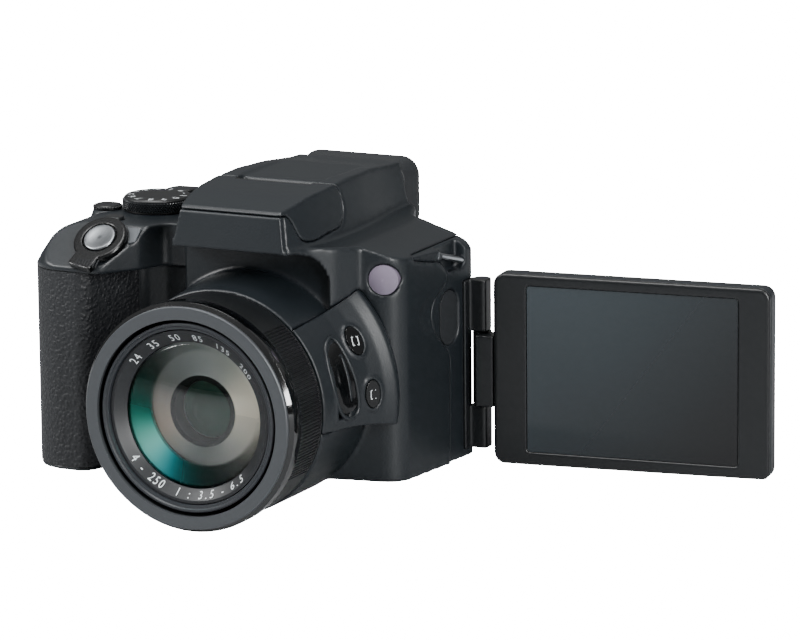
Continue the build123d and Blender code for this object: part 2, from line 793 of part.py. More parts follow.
# the deck's outer side in plan, and how far it draws in at each height
deck_side_shares = (
    (0.577, -1.028, 0), (-0.981, -1.028, 0.185), (-1, 0.086, 0.866), (-1, 1.713, 0), (0.577, 1.713, 0),
)
slant_shares = (
    (0.0, 0.822), (0.029, 0.874), (0.075, 0.941), (0.121, 0.983), (0.173, 1.001),
)


def deck_slant(inset=0):
    """What lies inside the deck's leaning, rounded outer side, or that drawn in by a wall."""
    plan = rounded(scaled(deck_side_shares, grip_x, grip_y, grip_x))
    places = [(d * grip_x + inset, z * deck_z - inset) for d, z in slant_shares]
    if inset:
        places[-1] = (places[-2][0], deck_z + over)
    low = up(inset_by(plan, inset), 0, places[0][1])
    return low + loft([Pos(0, 0, z) * inset_by(plan, d) for d, z in places], ruled=True)


def deck_form():
    """Outer form of the control deck over the grip."""
    plan = rounded(scaled(deck_plan_shares, grip_x, grip_y, grip_x))
    deck = up(plan, grip_seam_z, hump_z)
    deck &= along_y(front_outline(), -far, far)
    deck &= deck_zone
    deck &= deck_slant()
    return deck - slope_cut(0)


soft_share = 0.45


def hole_up(x, y, r):
    """A cutter through the deck's top, as deep as a dial's stem."""
    return rod(x, y, deck_z - stem_l, r, stem_l + wall)


def key_up(x, y, r, top_z, rise, face_r=None):
    """A round key through the top wall, with a flange under it."""
    low = top_z - wall
    key = rod(x, y, low - press, r, wall + press + rise)
    key = fillet(key.faces().sort_by(Axis.Z)[-1].edges(), rise * soft_share)
    return key + rod(x, y, low - flange_t - fit, r + flange_over, flange_t)


def key_back(x, z, r, rise, wall_y):
    """A round key through the rear wall, with a flange inside."""
    inner = wall_y - wall
    key = rod(x, inner - fit - flange_t, z, r, wall + flange_t + fit + rise, "Y")
    key = fillet(key.faces().sort_by(Axis.Y)[-1].edges(), rise / 2)
    return key + rod(x, inner - fit - flange_t, z, r + flange_over, flange_t, "Y")


def key_hole_back(x, z, r, wall_y):
    return rod(x, wall_y - wall - over, z, r + slip, wall + 2 * over, "Y")


mode_stem_r = 2.4
dial_gap = 0.25
stem_l = 4.0


def make_mode_dial():
    """Mode dial with its stem in the deck."""
    low = deck_z + dial_gap
    dial = rod(-dial_x, -dial_y, low, dial_r, dial_h)
    dial = chamfer(dial.faces().sort_by(Axis.Z)[-1].edges(), dial_gap * 2)
    return dial + rod(-dial_x, -dial_y, low - stem_l, mode_stem_r, stem_l)


def make_control_wheel():
    """Front control wheel, standing a little out of the deck."""
    low = deck_z + dial_gap
    wheel = rod(-wheel_x, -wheel_y, low, wheel_r, wheel_h)
    wheel = chamfer(wheel.faces().sort_by(Axis.Z)[-1].edges(), dial_gap * 2)
    return wheel + rod(-wheel_x, -wheel_y, low - stem_l, mode_stem_r, stem_l)


shutter_x = 45.4
shutter_up = 9.9       # button's axis, up the slope from its lower edge
shutter_rise = 0.3     # of its rim over the lever
shutter_edge_r = 0.5
dish_r = 24.5          # of its hollowed top
lever_bevel = 0.5
tab_in = 2.0           # how far the tab starts inside the lever's rim
tab_r = 0.9
lever_in_r = 5.35
tab_w, tab_l = 8.0, 3.4


def shutter_place():
    return slope_plane() * Pos(-shutter_x, shutter_up, 0)


def make_shutter_button():
    top = lever_h + dial_gap + shutter_rise - press - slip
    button = Pos(0, 0, top / 2) * Cylinder(shutter_r, top)
    button = fillet(button.faces().sort_by(Axis.Z)[-1].edges(), shutter_edge_r)
    button -= Pos(0, 0, top + dish_r - press / 2) * Sphere(dish_r)
    button += rod(0, 0, -wall - press, mode_stem_r, wall + press + top / 2)
    return shutter_place() * Pos(0, 0, press + slip) * button


def make_zoom_lever():
    """Zoom lever round the shutter button, with its finger tab at the front."""
    ring = Pos(0, 0, lever_h / 2) * Cylinder(lever_r, lever_h)
    ring = chamfer(ring.faces().sort_by(Axis.Z)[-1].edges(), lever_bevel)
    tab = box(-tab_w / 2, tab_w / 2, -lever_r - tab_l, -lever_r + tab_in, 0, lever_h)
    tab = fillet(tab.edges().filter_by(Axis.Z), tab_r)
    lever = ring + Rot(0, 0, -tab_turn) * tab
    lever -= Cylinder(lever_in_r, far)
    return shutter_place() * Pos(0, 0, dial_gap) * lever


tab_turn = 12.0
scale_t = 0.5
scale_r, scale_cut, scale_reach = 1.0, 2.0, 3.0    # its corners, slanted foot and reach over the lever
lever_clear = 0.3
scale_low_share, scale_high_share = -0.1, 0.78     # of the lever's radius, along the slope
scale_in_share, scale_out_share = 0.55, 1.28       # and across it


def make_scale_plate(grow=0):
    """Marked plate let into the slope beside the lever; grow makes the cutter for its pocket."""
    low = shutter_up + lever_r * scale_low_share
    high = shutter_up + lever_r * scale_high_share
    x0 = -shutter_x + lever_r * scale_in_share
    x1 = -shutter_x + lever_r * scale_out_share
    face = rounded([(x0, low, 0), (x1, low + scale_cut, scale_r), (x1, high, scale_r), (x0 - scale_reach, high, scale_r)])
    plate = Pos(0, 0, -scale_t) * extrude(inset_by(face, -grow), scale_t + grow, dir=(0, 0, 1))
    ring = Pos(-shutter_x, shutter_up, 0) * Cylinder(lever_r + lever_clear - grow, far)
    return slope_plane() * (plate - ring)


# small keys: (name, x, y, radius, rise) on the deck
deck_keys = {
    "deck_button": (47.4, 27.2, 2.7, 0.9),
    "power_button": (36.5, -9.5, 3.8, 0.8),
    "movie_button": (48.6, -19.5, 3.2, 0.8),
}
# and (x, z, radius, rise) on the back of the grip
back_keys = {
    "lock_button": (47.4, 53.2, 2.2, 0.6),
    "point_button": (60.6, 53.2, 2.2, 0.6),
    "play_button": (47.4, 41.2, 2.2, 0.6),
    "info_button": (47.4, 12.2, 2.2, 0.6),
    "menu_button": (60.6, 12.2, 2.2, 0.6),
    "set_button": (54.0, 26.6, 3.6, 0.9),
}
pad_x, pad_z, pad_r, pad_rise = 54.0, 26.6, 8.2, 1.0


def make_nav_pad():
    """Four-way pad round the set button."""
    inner = thumb_y - wall
    pad = rod(-pad_x, inner - fit - flange_t, pad_z, pad_r, wall + flange_t + fit + pad_rise, "Y")
    pad = fillet(pad.faces().sort_by(Axis.Y)[-1].edges(), pad_rise / 2)
    hub_r = back_keys["set_button"][2]
    return pad - rod(-pad_x, 0, pad_z, hub_r + slip, far, "Y")


def make_set_button():
    x, z, r, rise = back_keys["set_button"]
    inner = thumb_y - wall
    key = rod(-x, inner - fit - flange_t, z, r, wall + flange_t + fit + rise, "Y")
    return fillet(key.faces().sort_by(Axis.Y)[-1].edges(), rise / 2)


# side: lamp, lug, doors
lamp_x, lamp_y, lamp_z, lamp_r = 38.2, 22.4, 60.3, 4.4
lamp_tilt_deg = 11.5
lamp_rise = 0.9
lamp_t = 3.2


def lamp_place():
    return Pos(lamp_x, -lamp_y, lamp_z) * Rot(90, 0, 0) * Rot(0, lamp_tilt_deg, 0)


def make_assist_lamp():
    """Domed lamp lens in the front face."""
    curve = (lamp_r ** 2 + lamp_rise ** 2) / (2 * lamp_rise)
    ball = Pos(0, 0, lamp_rise - curve) * Sphere(curve)
    slab = Pos(0, 0, (lamp_rise - lamp_t) / 2) * Cylinder(lamp_r, lamp_t + lamp_rise)
    return lamp_place() * (ball & slab)


lug_y0, lug_y1, lug_z0 = 1.0, 15.0, 57.6
lug_slant = 5.0        # slanted corners of its pocket
lug_corner_r = 2.5
lug_let_in = 0.6       # the bar's ends in the pocket's walls
lug_end = 1.0          # and their distance from its corners
lug_depth = 4.6
lug_bar_r = 1.05
lug_top_z, lug_low_z = 64.6, 58.6
lug_drop = -3.4        # the grip side's lug lies higher
lug_x = grip_x - 3.4   # and further in, where the deck's side leans


def lug_pocket(sign, x, drop=0):
    """Pocket for a strap lug, cut in from the side at x."""
    face = rounded([
        (lug_y0, lug_z0 + lug_slant - drop, lug_corner_r), (lug_y0 + lug_slant, lug_z0 - drop, lug_corner_r),
        (lug_y1, lug_z0 - drop, lug_corner_r), (lug_y1, lug_top_z + lug_slant - drop, lug_corner_r),
        (lug_y0, lug_top_z + lug_slant - lug_end - drop, lug_corner_r),
    ])
    low, high = sorted((sign * (x - lug_depth), sign * far))
    return along_x(face, low, high)


def lug_bar(sign, x, drop=0):
    """The lug's bar, let into both ends of its pocket."""
    start = Vector(sign * (x - lug_depth / 2), lug_y0 - lug_let_in, lug_top_z - lug_end - drop)
    end = Vector(sign * (x - lug_depth / 2), lug_y1 + lug_let_in, lug_low_z + lug_end - drop)
    run = end - start
    place = Plane(origin=start, z_dir=run.normalized())
    return place * Cylinder(lug_bar_r, run.length, align=(Align.CENTER, Align.CENTER, Align.MIN))


mic_y, mic_z, mic_w, mic_h, mic_t = 5.6, 44.2, 9.0, 16.2, 1.0


def mic_face(grow=0):
    return Pos(mic_y, mic_z) * SlotOverall(mic_h + 2 * grow, mic_w + 2 * grow, rotation=90)


def side_wall_place():
    """A plane on the hinge side's wall: local X runs back, local Y up, local Z out."""
    lean = (side_x - side_x * 0.905) / (rear_y + rear_y * 1.129)
    back = Vector(lean, 1, 0).normalized()
    return Plane(origin=(side_x - side_step - lean * rear_y, 0, 0), x_dir=back, z_dir=back.cross(Vector(0, 0, 1)))


def make_mic_door(grow=0):
    """Oval rubber door; grow makes the cutter for its seat, with relief at its hinge."""
    if not grow:
        return side_wall_place() * Pos(0, 0, -mic_t) * extrude(mic_face(), mic_t, dir=(0, 0, 1))
    seat = Pos(0, 0, -mic_t - grow) * extrude(mic_face(grow), mic_t + over, dir=(0, 0, 1))
    relief = Pos(mic_t, 0, -mic_t - grow) * extrude(mic_face(grow), mic_t + over, dir=(0, 0, 1))
    return side_wall_place() * (seat + relief)


jack_r, jack_l = 3.0, 5.0
jack_bore_r, jack_bore_l = 1.75, 4.0
plug_w, plug_h, plug_l = 3.0, 6.5, 3.5     # mouths of the two sockets
socket_gap = 0.3       # behind a door
socket_end = 2.0       # from the door's ends to the sockets' block
term_y0, term_y1, term_z0, term_z1, term_t = 9.4, 20.6, 20.0, 48.0, 1.6
term_x = 69.08


def make_terminal_door():
    """Side door over the sockets, with a round hinge edge."""
    r = term_t / 2
    door = box(-term_x, -term_x + term_t, term_y0 + r, term_y1, term_z0, term_z1)
    return door + rod(-term_x + r, term_y0 + r, term_z0, r, term_z1 - term_z0)


def terminal_seat():
    r = term_t / 2
    seat = box(-far, -term_x + term_t + slip, term_y0 - slip, term_y1 + slip, term_z0 - slip, term_z1 + slip)
    return seat


def make_sockets():
    """The microphone jack behind the oval door, the two sockets behind the side door."""
    jack = side_wall_place() * Pos(mic_y, mic_z, -mic_t - slip - jack_l) * Cylinder(
        jack_r, jack_l, align=(Align.CENTER, Align.CENTER, Align.MIN))
    jack -= side_wall_place() * Pos(mic_y, mic_z, -mic_t - slip - jack_bore_l) * Cylinder(
        jack_bore_r, jack_l, align=(Align.CENTER, Align.CENTER, Align.MIN))
    x0 = -term_x + term_t + socket_gap
    mid_y = (term_y0 + term_y1) / 2
    low, high = term_z0 + socket_end, term_z1 - socket_end
    block = box(x0, x0 + jack_l, mid_y - jack_r, mid_y + jack_r, low, high)
    for share in (1, 3):
        z = low + (high - low) * share / 4
        block -= box(x0 - over, x0 + plug_l, mid_y - plug_w / 2, mid_y + plug_w / 2, z - plug_h / 2, z + plug_h / 2)
    return jack + block


def socket_holes():
    jack = side_wall_place() * Pos(mic_y, mic_z, -mic_t - 2 * wall) * Cylinder(jack_r + slip, 4 * wall)
    mid_y = (term_y0 + term_y1) / 2
    slot = box(-term_x, -term_x + term_t + socket_gap + jack_l, mid_y - jack_r - slip, mid_y + jack_r + slip,
               term_z0 + socket_end - slip, term_z1 - socket_end + slip)
    return jack, slot


# base
bat_x0, bat_x1, bat_y0, bat_y1, bat_h = 64.2, 51.9, 36.0, 3.5, 48.5
card_x, card_t, card_y0, card_w, card_h = 50.3, 2.1, 23.0, 24.0, 32.0
door_x0, door_x1, door_y0, door_y1, door_t = 67.0, 48.2, 39.0, 4.0, 2.0
door_in = 2.7          # from the body's outline
door_lap = 2.0         # the battery well ends this far in front of the door's edge
cell_gap = 0.3         # round battery and card
cell_bevel = 1.0
card_cut = 3.0         # the card's cut corner
floor_t = 2.2
bush_r, thread_r, thread_l = 4.6, 2.55, 6.2
bush_share = 1.3
screw_r, screw_head_r, screw_l = 0.9, 1.7, 4.0
screw_sink = 0.1       # heads below the base
screw_head_t = 0.9
screw_seat = 1.0       # depth of the counterbore
slot_w, slot_t = 0.4, 0.5
front_screws = ((38.6, -15.6), (-31.0, -18.3))
side_screws = ((41.3, 9.0),)
rear_screws = ((-29.0, 14.4),)
screw_places = front_screws + side_screws + rear_screws
boss_r, boss_h = 3.2, 4.4
base_in = 3.2


def make_battery_door():
    """Bottom door with a round hinge edge towards the lens."""
    r = door_t / 2
    door = box(-door_x0, -door_x1 - r, -door_y0, door_y1, 0, door_t)
    door += rod(-door_x1 - r, -door_y0, r, r, door_y0 + door_y1, "Y")
    return door & up(inset_by(body_plan(), door_in), -over, far)


def battery_door_seat():
    seat = box(-door_x0 - slip, -door_x1 + slip, -door_y0 - slip, door_y1 + slip, -over, door_t + slip)
    seat += box(-bat_x0 - cell_gap, -card_x + card_t, -bat_y0 - cell_gap, door_y1 - door_lap, 0, floor_t + over)
    return seat & up(inset_by(body_plan(), door_in - slip), -over, far)


def make_battery():
    low = door_t + cell_gap
    cell = box(-bat_x0, -bat_x1, -bat_y0, -bat_y1, low, low + bat_h)
    return chamfer(cell.edges().filter_by(Axis.Z), cell_bevel)


def make_memory_card():
    low = door_t + cell_gap
    card = box(-card_x - card_t / 2, -card_x + card_t / 2, -card_y0, -card_y0 + card_w, low, low + card_h)
    return chamfer(card.edges().filter_by(Axis.X).sort_by(Axis.Y)[:2].sort_by(Axis.Z)[-1:], card_cut)


def base_plan(inset):
    """The base plate's outline: the body's, drawn in, from behind the collar to before the thumb rest."""
    kept = inset_by(body_plan(), inset) & Pos(0, -far + rear_y - inset) * Rectangle(far * 2, far * 2)
    return kept & Pos(0, far - collar_back_y + inset - base_in + over) * Rectangle(far * 2, far * 2)


def boss(x, y):
    return rod(x, y, floor_t + seam, boss_r, boss_h) - rod(x, y, 0, screw_r + fit, far)


def make_base_plate():
    """Base plate let into the floor, round the battery door and the tripod bush."""
    plate = up(base_plan(base_in), 0, floor_t) - battery_door_seat()
    plate -= rod(0, 0, -over, bush_r + seam, floor_t + 2 * over)
    for x, y in screw_places:
        plate -= rod(x, y, -over, screw_r, floor_t + 2 * over)
        plate -= rod(x, y, -over, screw_head_r, over + screw_seat)
    return plate


def make_tripod_bush():
    low = floor_t + seam
    bush = rod(0, 0, 0, bush_r, low) + rod(0, 0, low, bush_r * bush_share, bush_l - low)
    return bush - rod(0, 0, -over, thread_r, thread_l + over)


def make_base_screws():
    screws = []
    for x, y in screw_places:
        screw = rod(x, y, screw_sink, screw_head_r, screw_head_t)
        screw += rod(x, y, screw_seat, screw_r, screw_l - screw_seat)
        slot = box(x - screw_r, x + screw_r, y - slot_w / 2, y + slot_w / 2, 0, slot_t)
        screws.append(screw - slot)
    return Compound(children=screws)


# inside
chassis_t = 1.4
board_w, board_h, board_t = 24.0, 20.0, 1.2
sensor_w, sensor_h, sensor_t = 9.0, 7.5, 1.6
chassis_in = 6.0       # its grip side and top, in from the skin's edge and the top cover's seam
chassis_gap = 2.0


def make_chassis():
    """Pressed frame that the barrel is bolted to, close inside the shells."""
    plate = body_form(wall + slip) & box(
        -skin_in_x + chassis_in, side_x - lug_depth - wall - chassis_gap, mount_y, mount_y + chassis_t, 0,
        cover_z - chassis_in)
    for x, y in screw_places:
        plate -= rod(x, y, 0, boss_r + slip, floor_t + boss_h + over)
    return plate - box(-board_w / 3, board_w / 3, 0, far, lens_z - board_h / 3, lens_z + board_h / 3)


def make_sensor_board():
    """Image sensor on its board, against the chassis, facing the lens."""
    y0 = mount_y - board_t
    board = box(-board_w / 2, board_w / 2, y0, mount_y, lens_z - board_h / 2, lens_z + board_h / 2)
    return board + box(-sensor_w / 2, sensor_w / 2, y0 - sensor_t, y0, lens_z - sensor_h / 2, lens_z + sensor_h / 2)


# viewfinder
cup_y0, cup_y1 = 33.0, 43.1
cup_half, cup_low_z, cup_high_z = 19.0, 61.0, 84.2
cup_r = 5.5
eye_half, eye_h, eye_z = 10.5, 13.0, 73.5
eye_r = 2.0
cup_draw = 1.6         # the root's size under the lip's
cup_lip_l = 3.0
cup_lip_bevel = 0.5
cup_well = 2.0         # the well's border round the eyepiece
cup_well_r = 3.8


def make_eyecup():
    """Soft eyecup, flared to the rear round the eyepiece."""
    mid_z = (cup_low_z + cup_high_z) / 2
    high = cup_high_z - cup_low_z
    wide = 2 * cup_half
    sections = [
        Plane.XZ.offset(-y) * Pos(0, mid_z) * RectangleRounded(wide - drop, high - drop, cup_r)
        for y, drop in ((cup_y0, cup_draw), (cup_y1 - cup_lip_l, 0), (cup_y1, 2 * cup_lip_bevel))
    ]
    cup = loft(sections, ruled=True)
    well = Plane.XZ.offset(-cup_y1 - over) * Pos(0, eye_z) * RectangleRounded(
        2 * (eye_half + cup_well), eye_h + 2 * cup_well, cup_well_r)
    return cup - extrude(well, cup_y1 - cup_y0 + 2 * over, dir=(0, -1, 0))


def make_eyepiece():
    """Eyepiece window, set in the hump's rear wall."""
    y0 = cup_y0 - wall
    face = Plane.XZ.offset(-y0) * Pos(0, eye_z) * RectangleRounded(2 * eye_half, eye_h, eye_r)
    return extrude(face, wall, dir=(0, 1, 0))


def eyepiece_hole():
    face = Plane.XZ.offset(-cup_y0 + wall + over) * Pos(0, eye_z) * RectangleRounded(
        2 * eye_half + 2 * seam, eye_h + 2 * seam, eye_r + seam)
    return extrude(face, wall + 2 * over, dir=(0, 1, 0))


dioptre_x, dioptre_z, dioptre_r, dioptre_t = 33.4, 62.2, 3.3, 2.0
dioptre_y = 20.95


def make_dioptre_dial():
    """Small knurled knob on the rear, beside the eyecup."""
    y0 = dioptre_y
    knob = rod(dioptre_x, y0, dioptre_z, dioptre_r, dioptre_t, "Y")
    return knob + rod(dioptre_x, y0 - stem_l, dioptre_z, dioptre_r / 2, stem_l, "Y")


# building, outer shells first
lid_half = side_x * 0.468
lid_band = box(-lid_half, lid_half, -far, far, cover_z, far)
lid_zone = lid_region() & lid_band
lid_seat = lid_region(seam) & box(-lid_half - seam, lid_half + seam, -far, far, cover_z, far)
side_wall = side_wall_place()
button_holes = pad_button(pad_upper_y, pad_upper_deg, 1, slip, pad_hole_l)
button_holes += pad_button(pad_lower_y, pad_lower_deg, pad_lower_scale_share, slip, pad_hole_l)


def make_front_shell():
    """Front cover with the collar and the foot of the side pad."""
    front = shell & front_zone
    front += make_collar()
    front += rod(0, -barrel_end_y + seam, lens_z, collar_tip_r, barrel_end_y - collar_back_y - seam, "Y")
    front -= rod(0, -far, lens_z, collar_bore_r, far - barrel_end_y + seam, "Y")
    front -= rod(0, -far, lens_z, neck_r + collar_gap, far, "Y")
    front -= turned(flare_profile(seam), pad_low_deg - pad_seam_deg, pad_high_deg + pad_seam_deg)
    front -= lamp_place() * Pos(0, 0, -lamp_t) * Cylinder(lamp_r + slip, far / 10)
    front -= terminal_seat() + socket_holes()[1]
    return front - skin - base_seat + bosses(front_screws)


def bosses(places):
    """The screw bosses that stand in one shell, kept inside the body's form."""
    return [boss(x, y) & form for x, y in places]


def make_barrel_pad():
    """The side pad with its button holes and trough."""
    pad = turned(flare_profile(), pad_low_deg, pad_high_deg) + pad_rims()
    pad -= make_finger_rest(slip)
    return pad - button_holes


def make_top_cover():
    """Top cover: hump, nose, shoulder, and the well under the flash lid."""
    top = shell & top_zone
    well = box(-well_half, well_half, -nose_y, -lid_pivot_y + lid_r + slot_l + wall, cover_z, hump_z)
    top += form & well
    top -= lid_seat
    top -= plate_region(seam) & box(-side_x, side_x, -far, 0, cover_z, far)
    top += make_ear()
    heel_y = -lid_pivot_y + lid_r
    top -= box(-slot_half, slot_half, heel_y - lid_r, heel_y + slot_l, hump_z - slot_depth, far)
    top -= box(-panel_half, panel_half, heel_y + slot_l, panel_end_y, hump_z - panel_depth, far)
    return top - eyepiece_hole()


def make_deck_cover():
    """Control deck over the grip, with the keys' and dials' holes."""
    deck = deck_form() - (core & deck_slant(wall))
    for x, y, r, rise in deck_keys.values():
        deck -= hole_up(-x, -y, r + slip)
    for x, y in ((dial_x, dial_y), (wheel_x, wheel_y)):
        deck -= hole_up(-x, -y, mode_stem_r + fit)
    deck -= shutter_place() * Cylinder(mode_stem_r + slip, far / 5)
    deck -= make_scale_plate(seam)
    deck += deck_form() & box(-far, -lug_x + lug_depth + wall, lug_y0 - wall, lug_y1 + wall, grip_seam_z, far)
    return deck - lug_pocket(-1, lug_x, lug_drop) - lug_bar(-1, lug_x, lug_drop)


def make_rear_shell():
    rear = shell & rear_zone
    for name, (x, z, r, _) in back_keys.items():
        if name != "set_button":
            rear -= key_hole_back(-x, z, r, thumb_y)
    rear -= key_hole_back(-pad_x, pad_z, pad_r, thumb_y)
    rear -= rod(dioptre_x, 0, dioptre_z, dioptre_r / 2 + fit, far, "Y")
    rear -= hinge_seat()
    return rear - skin - base_seat - terminal_seat() - socket_holes()[1] + bosses(rear_screws)


def make_side_cover():
    side = (side_form - core) & side_zone
    side += side_form & side_zone & lug_block
    side -= lug_pocket(1, side_x)
    side -= lug_bar(1, side_x)
    side -= base_seat
    side += bosses(side_screws)
    return side - make_mic_door(slip) - socket_holes()[0] - hinge_seat()


skin = make_grip_skin()
base_seat = up(base_plan(base_in - seam), -over, floor_t + seam) + battery_door_seat()
lug_block = box(side_x - lug_depth - wall, far, lug_y0 - wall, lug_y1 + wall, lug_z0 - wall, far)

makers = {
    "front_shell": make_front_shell,
    "top_cover": make_top_cover,
    "deck_cover": make_deck_cover,
    "rear_shell": make_rear_shell,
    "side_cover": make_side_cover,
    "barrel_pad": make_barrel_pad,
    "finger_rest": make_finger_rest,
    "outer_barrel": make_outer_barrel,
    "barrel_ring": make_barrel_ring,
    "zoom_tube_outer": make_zoom_tube_outer,
    "front_ring": make_front_ring,
    "zoom_tube_inner": make_zoom_tube_inner,
    "name_ring": make_name_ring,
    "inner_cone": make_inner_cone,
    "second_glass": make_second_glass,
    "hinge_bracket": make_hinge_bracket,
    "screen_arm": make_screen_arm,
    "screen_frame": make_screen_frame,
    "screen_glass": make_screen_glass,
    "screen_module": make_screen_module,
    "screen_back": make_screen_back,
    "nav_pad": make_nav_pad,
    "assist_lamp": make_assist_lamp,
    "mic_door": make_mic_door,
    "terminal_door": make_terminal_door,
    "sockets": make_sockets,
    "battery_door": make_battery_door,
    "battery": make_battery,
    "memory_card": make_memory_card,
    "base_plate": make_base_plate,
    "tripod_bush": make_tripod_bush,
    "base_screws": make_base_screws,
    "chassis": make_chassis,
    "sensor_board": make_sensor_board,
    "mode_dial": make_mode_dial,
    "control_wheel": make_control_wheel,
    "shutter_button": make_shutter_button,
    "zoom_lever": make_zoom_lever,
    "scale_plate": make_scale_plate,
    "eyecup": make_eyecup,
    "eyepiece_lens": make_eyepiece,
    "dioptre_dial": make_dioptre_dial,
}
for name, make in makers.items():
    save(name, make())
save("grip_skin", skin)
save("flash_lid", make_flash_lid(lid_zone))
save("flash_window", make_flash_window(lid_zone))
save("flash_tube", make_flash_tube(lid_zone))
save("front_plate", plate_zone())
save("front_glass", dome(glass_y, glass_r, glass_rise, glass_t))
save("pad_button_upper", pad_button(pad_upper_y, pad_upper_deg, 1))
save("pad_button_lower", pad_button(pad_lower_y, pad_lower_deg, pad_lower_scale_share))
save("strap_lugs", Compound(children=[lug_bar(1, side_x), lug_bar(-1, lug_x, lug_drop)]))
for name, (x, y, r, rise) in deck_keys.items():
    save(name, key_up(-x, -y, r, deck_z, rise))
for name, (x, z, r, rise) in back_keys.items():
    if name == "set_button":
        save(name, make_set_button())
    else:
        save(name, key_back(-x, z, r, rise, thumb_y))
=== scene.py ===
import json
from math import cos, pi, radians, sin

import bmesh
import bpy
from mathutils import Matrix, Vector

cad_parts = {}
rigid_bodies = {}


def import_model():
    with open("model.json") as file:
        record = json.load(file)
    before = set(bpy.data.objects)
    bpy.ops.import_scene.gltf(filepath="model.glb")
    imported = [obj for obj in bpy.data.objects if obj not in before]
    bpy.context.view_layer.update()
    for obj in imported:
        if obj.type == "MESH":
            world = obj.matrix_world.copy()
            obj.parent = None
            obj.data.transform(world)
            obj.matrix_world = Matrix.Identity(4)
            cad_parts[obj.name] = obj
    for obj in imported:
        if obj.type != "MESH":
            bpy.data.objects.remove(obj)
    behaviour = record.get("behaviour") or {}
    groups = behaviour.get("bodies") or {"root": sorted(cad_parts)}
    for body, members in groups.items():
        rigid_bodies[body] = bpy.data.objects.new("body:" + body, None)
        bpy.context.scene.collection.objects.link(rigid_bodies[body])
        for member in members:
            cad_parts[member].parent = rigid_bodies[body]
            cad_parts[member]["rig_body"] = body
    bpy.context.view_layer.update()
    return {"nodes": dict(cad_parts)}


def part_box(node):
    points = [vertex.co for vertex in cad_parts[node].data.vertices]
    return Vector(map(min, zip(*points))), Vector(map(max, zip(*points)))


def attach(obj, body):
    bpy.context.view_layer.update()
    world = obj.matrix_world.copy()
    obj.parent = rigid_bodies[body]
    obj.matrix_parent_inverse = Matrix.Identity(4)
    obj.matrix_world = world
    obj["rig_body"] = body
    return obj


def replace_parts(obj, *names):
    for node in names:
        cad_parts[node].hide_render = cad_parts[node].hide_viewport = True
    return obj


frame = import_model()

# The floor. A seamless sheet of pale paper under the foot of the lens ring. It leans a little, so that
# the base's rear edge rests on it too, and the camera sees it burnt out to white.
mm = 0.001
lean = radians(4.5)
floor_half = 3.0
foot_y, foot_z = -72.5 * mm, -7.4 * mm
paper_glow = 25.0


def sheet_colour(code):
    """An sRGB hex value as the linear colour that a socket takes."""
    parts = [int(code[i:i + 2], 16) / 255 for i in (0, 2, 4)]
    return [c / 12.92 if c <= 0.04045 else ((c + 0.055) / 1.055) ** 2.4 for c in parts] + [1.0]


def add(tree, kind, links=None, **settings):
    """One shader or geometry node with its settings, and with its inputs' values or links."""
    made = tree.nodes.new(kind)
    for name, value in settings.items():
        setattr(made, name, value)
    for key, value in (links or {}).items():
        socket = made.inputs[key]
        if isinstance(value, bpy.types.NodeSocket):
            tree.links.new(value, socket)
        else:
            socket.default_value = value
    return made


def finish_of(name, colour, **sockets):
    """A new material of one Principled surface; sockets are its constants."""
    made = bpy.data.materials.new(name)
    made.use_nodes = True
    shader = made.node_tree.nodes["Principled BSDF"]
    shader.inputs["Base Color"].default_value = sheet_colour(colour)
    for key, value in sockets.items():
        shader.inputs[key.replace("_", " ")].default_value = value
    return made, made.node_tree, shader


def placed(name, data):
    """An object for some data, linked to the scene."""
    made = bpy.data.objects.new(name, data)
    bpy.context.scene.collection.objects.link(made)
    return made


floor_paint, tree, shader = finish_of("seamless_paper", "A8AAAC", Roughness=0.9)
shader.inputs["Emission Color"].default_value = sheet_colour("FFFFFF")
seen = add(tree, "ShaderNodeLightPath").outputs["Is Camera Ray"]
lit = add(tree, "ShaderNodeMath", {0: seen, 1: paper_glow}, operation="MULTIPLY")
tree.links.new(lit.outputs[0], shader.inputs["Emission Strength"])
floor_mesh = bpy.data.meshes.new("studio_floor")
corners = [(x * floor_half, y * floor_half) for x, y in ((-1, -1), (1, -1), (1, 1), (-1, 1))]
floor_mesh.from_pydata([(x, y, foot_z + (y - foot_y) * sin(lean)) for x, y in corners], [], [(0, 1, 2, 3)])
floor_mesh.materials.append(floor_paint)
placed("studio_floor", floor_mesh)

# The studio's air and its lamps. Soft white light grows from the floor to the ceiling; one big softbox
# hangs over the grip side, one over the top, and a tall strip stands beside the screen.
air_low, air_high = 0.05, 0.5
world = bpy.data.worlds.new("studio_air")
world.use_nodes = True
tree = world.node_tree
seen = add(tree, "ShaderNodeLightPath").outputs["Is Camera Ray"]
sky = add(tree, "ShaderNodeSeparateXYZ", {0: add(tree, "ShaderNodeTexCoord").outputs["Generated"]})
height = add(tree, "ShaderNodeMapRange", {"Value": sky.outputs["Z"], "From Min": -0.1, "From Max": 0.9,
                                          "To Min": air_low, "To Max": air_high})
power = add(tree, "ShaderNodeMix", {0: seen, 2: height.outputs["Result"], 3: paper_glow}, data_type="FLOAT")
tree.nodes["Background"].inputs["Color"].default_value = sheet_colour("FFFFFF")
tree.links.new(power.outputs[0], tree.nodes["Background"].inputs["Strength"])
bpy.context.scene.world = world
camera_middle = Vector((0, 0, 40)) * mm


def softbox(name, place, width, height, watts):
    """A rectangular soft white light at one place, aimed at the middle of the camera."""
    lamp = bpy.data.lights.new(name, "AREA")
    lamp.shape = "RECTANGLE"
    lamp.size, lamp.size_y, lamp.energy = width, height, watts
    made = placed(name, lamp)
    made.location = place
    made.rotation_mode = "QUATERNION"
    made.rotation_quaternion = (camera_middle - Vector(place)).to_track_quat("-Z", "Y")


softbox("key_light", (-0.85, -0.65, 0.75), width=0.45, height=0.6, watts=17)
softbox("top_light", (-0.1, -0.25, 1.15), width=0.7, height=0.5, watts=10)
softbox("strip_light", (0.9, -0.62, 0.45), width=0.14, height=0.8, watts=15)

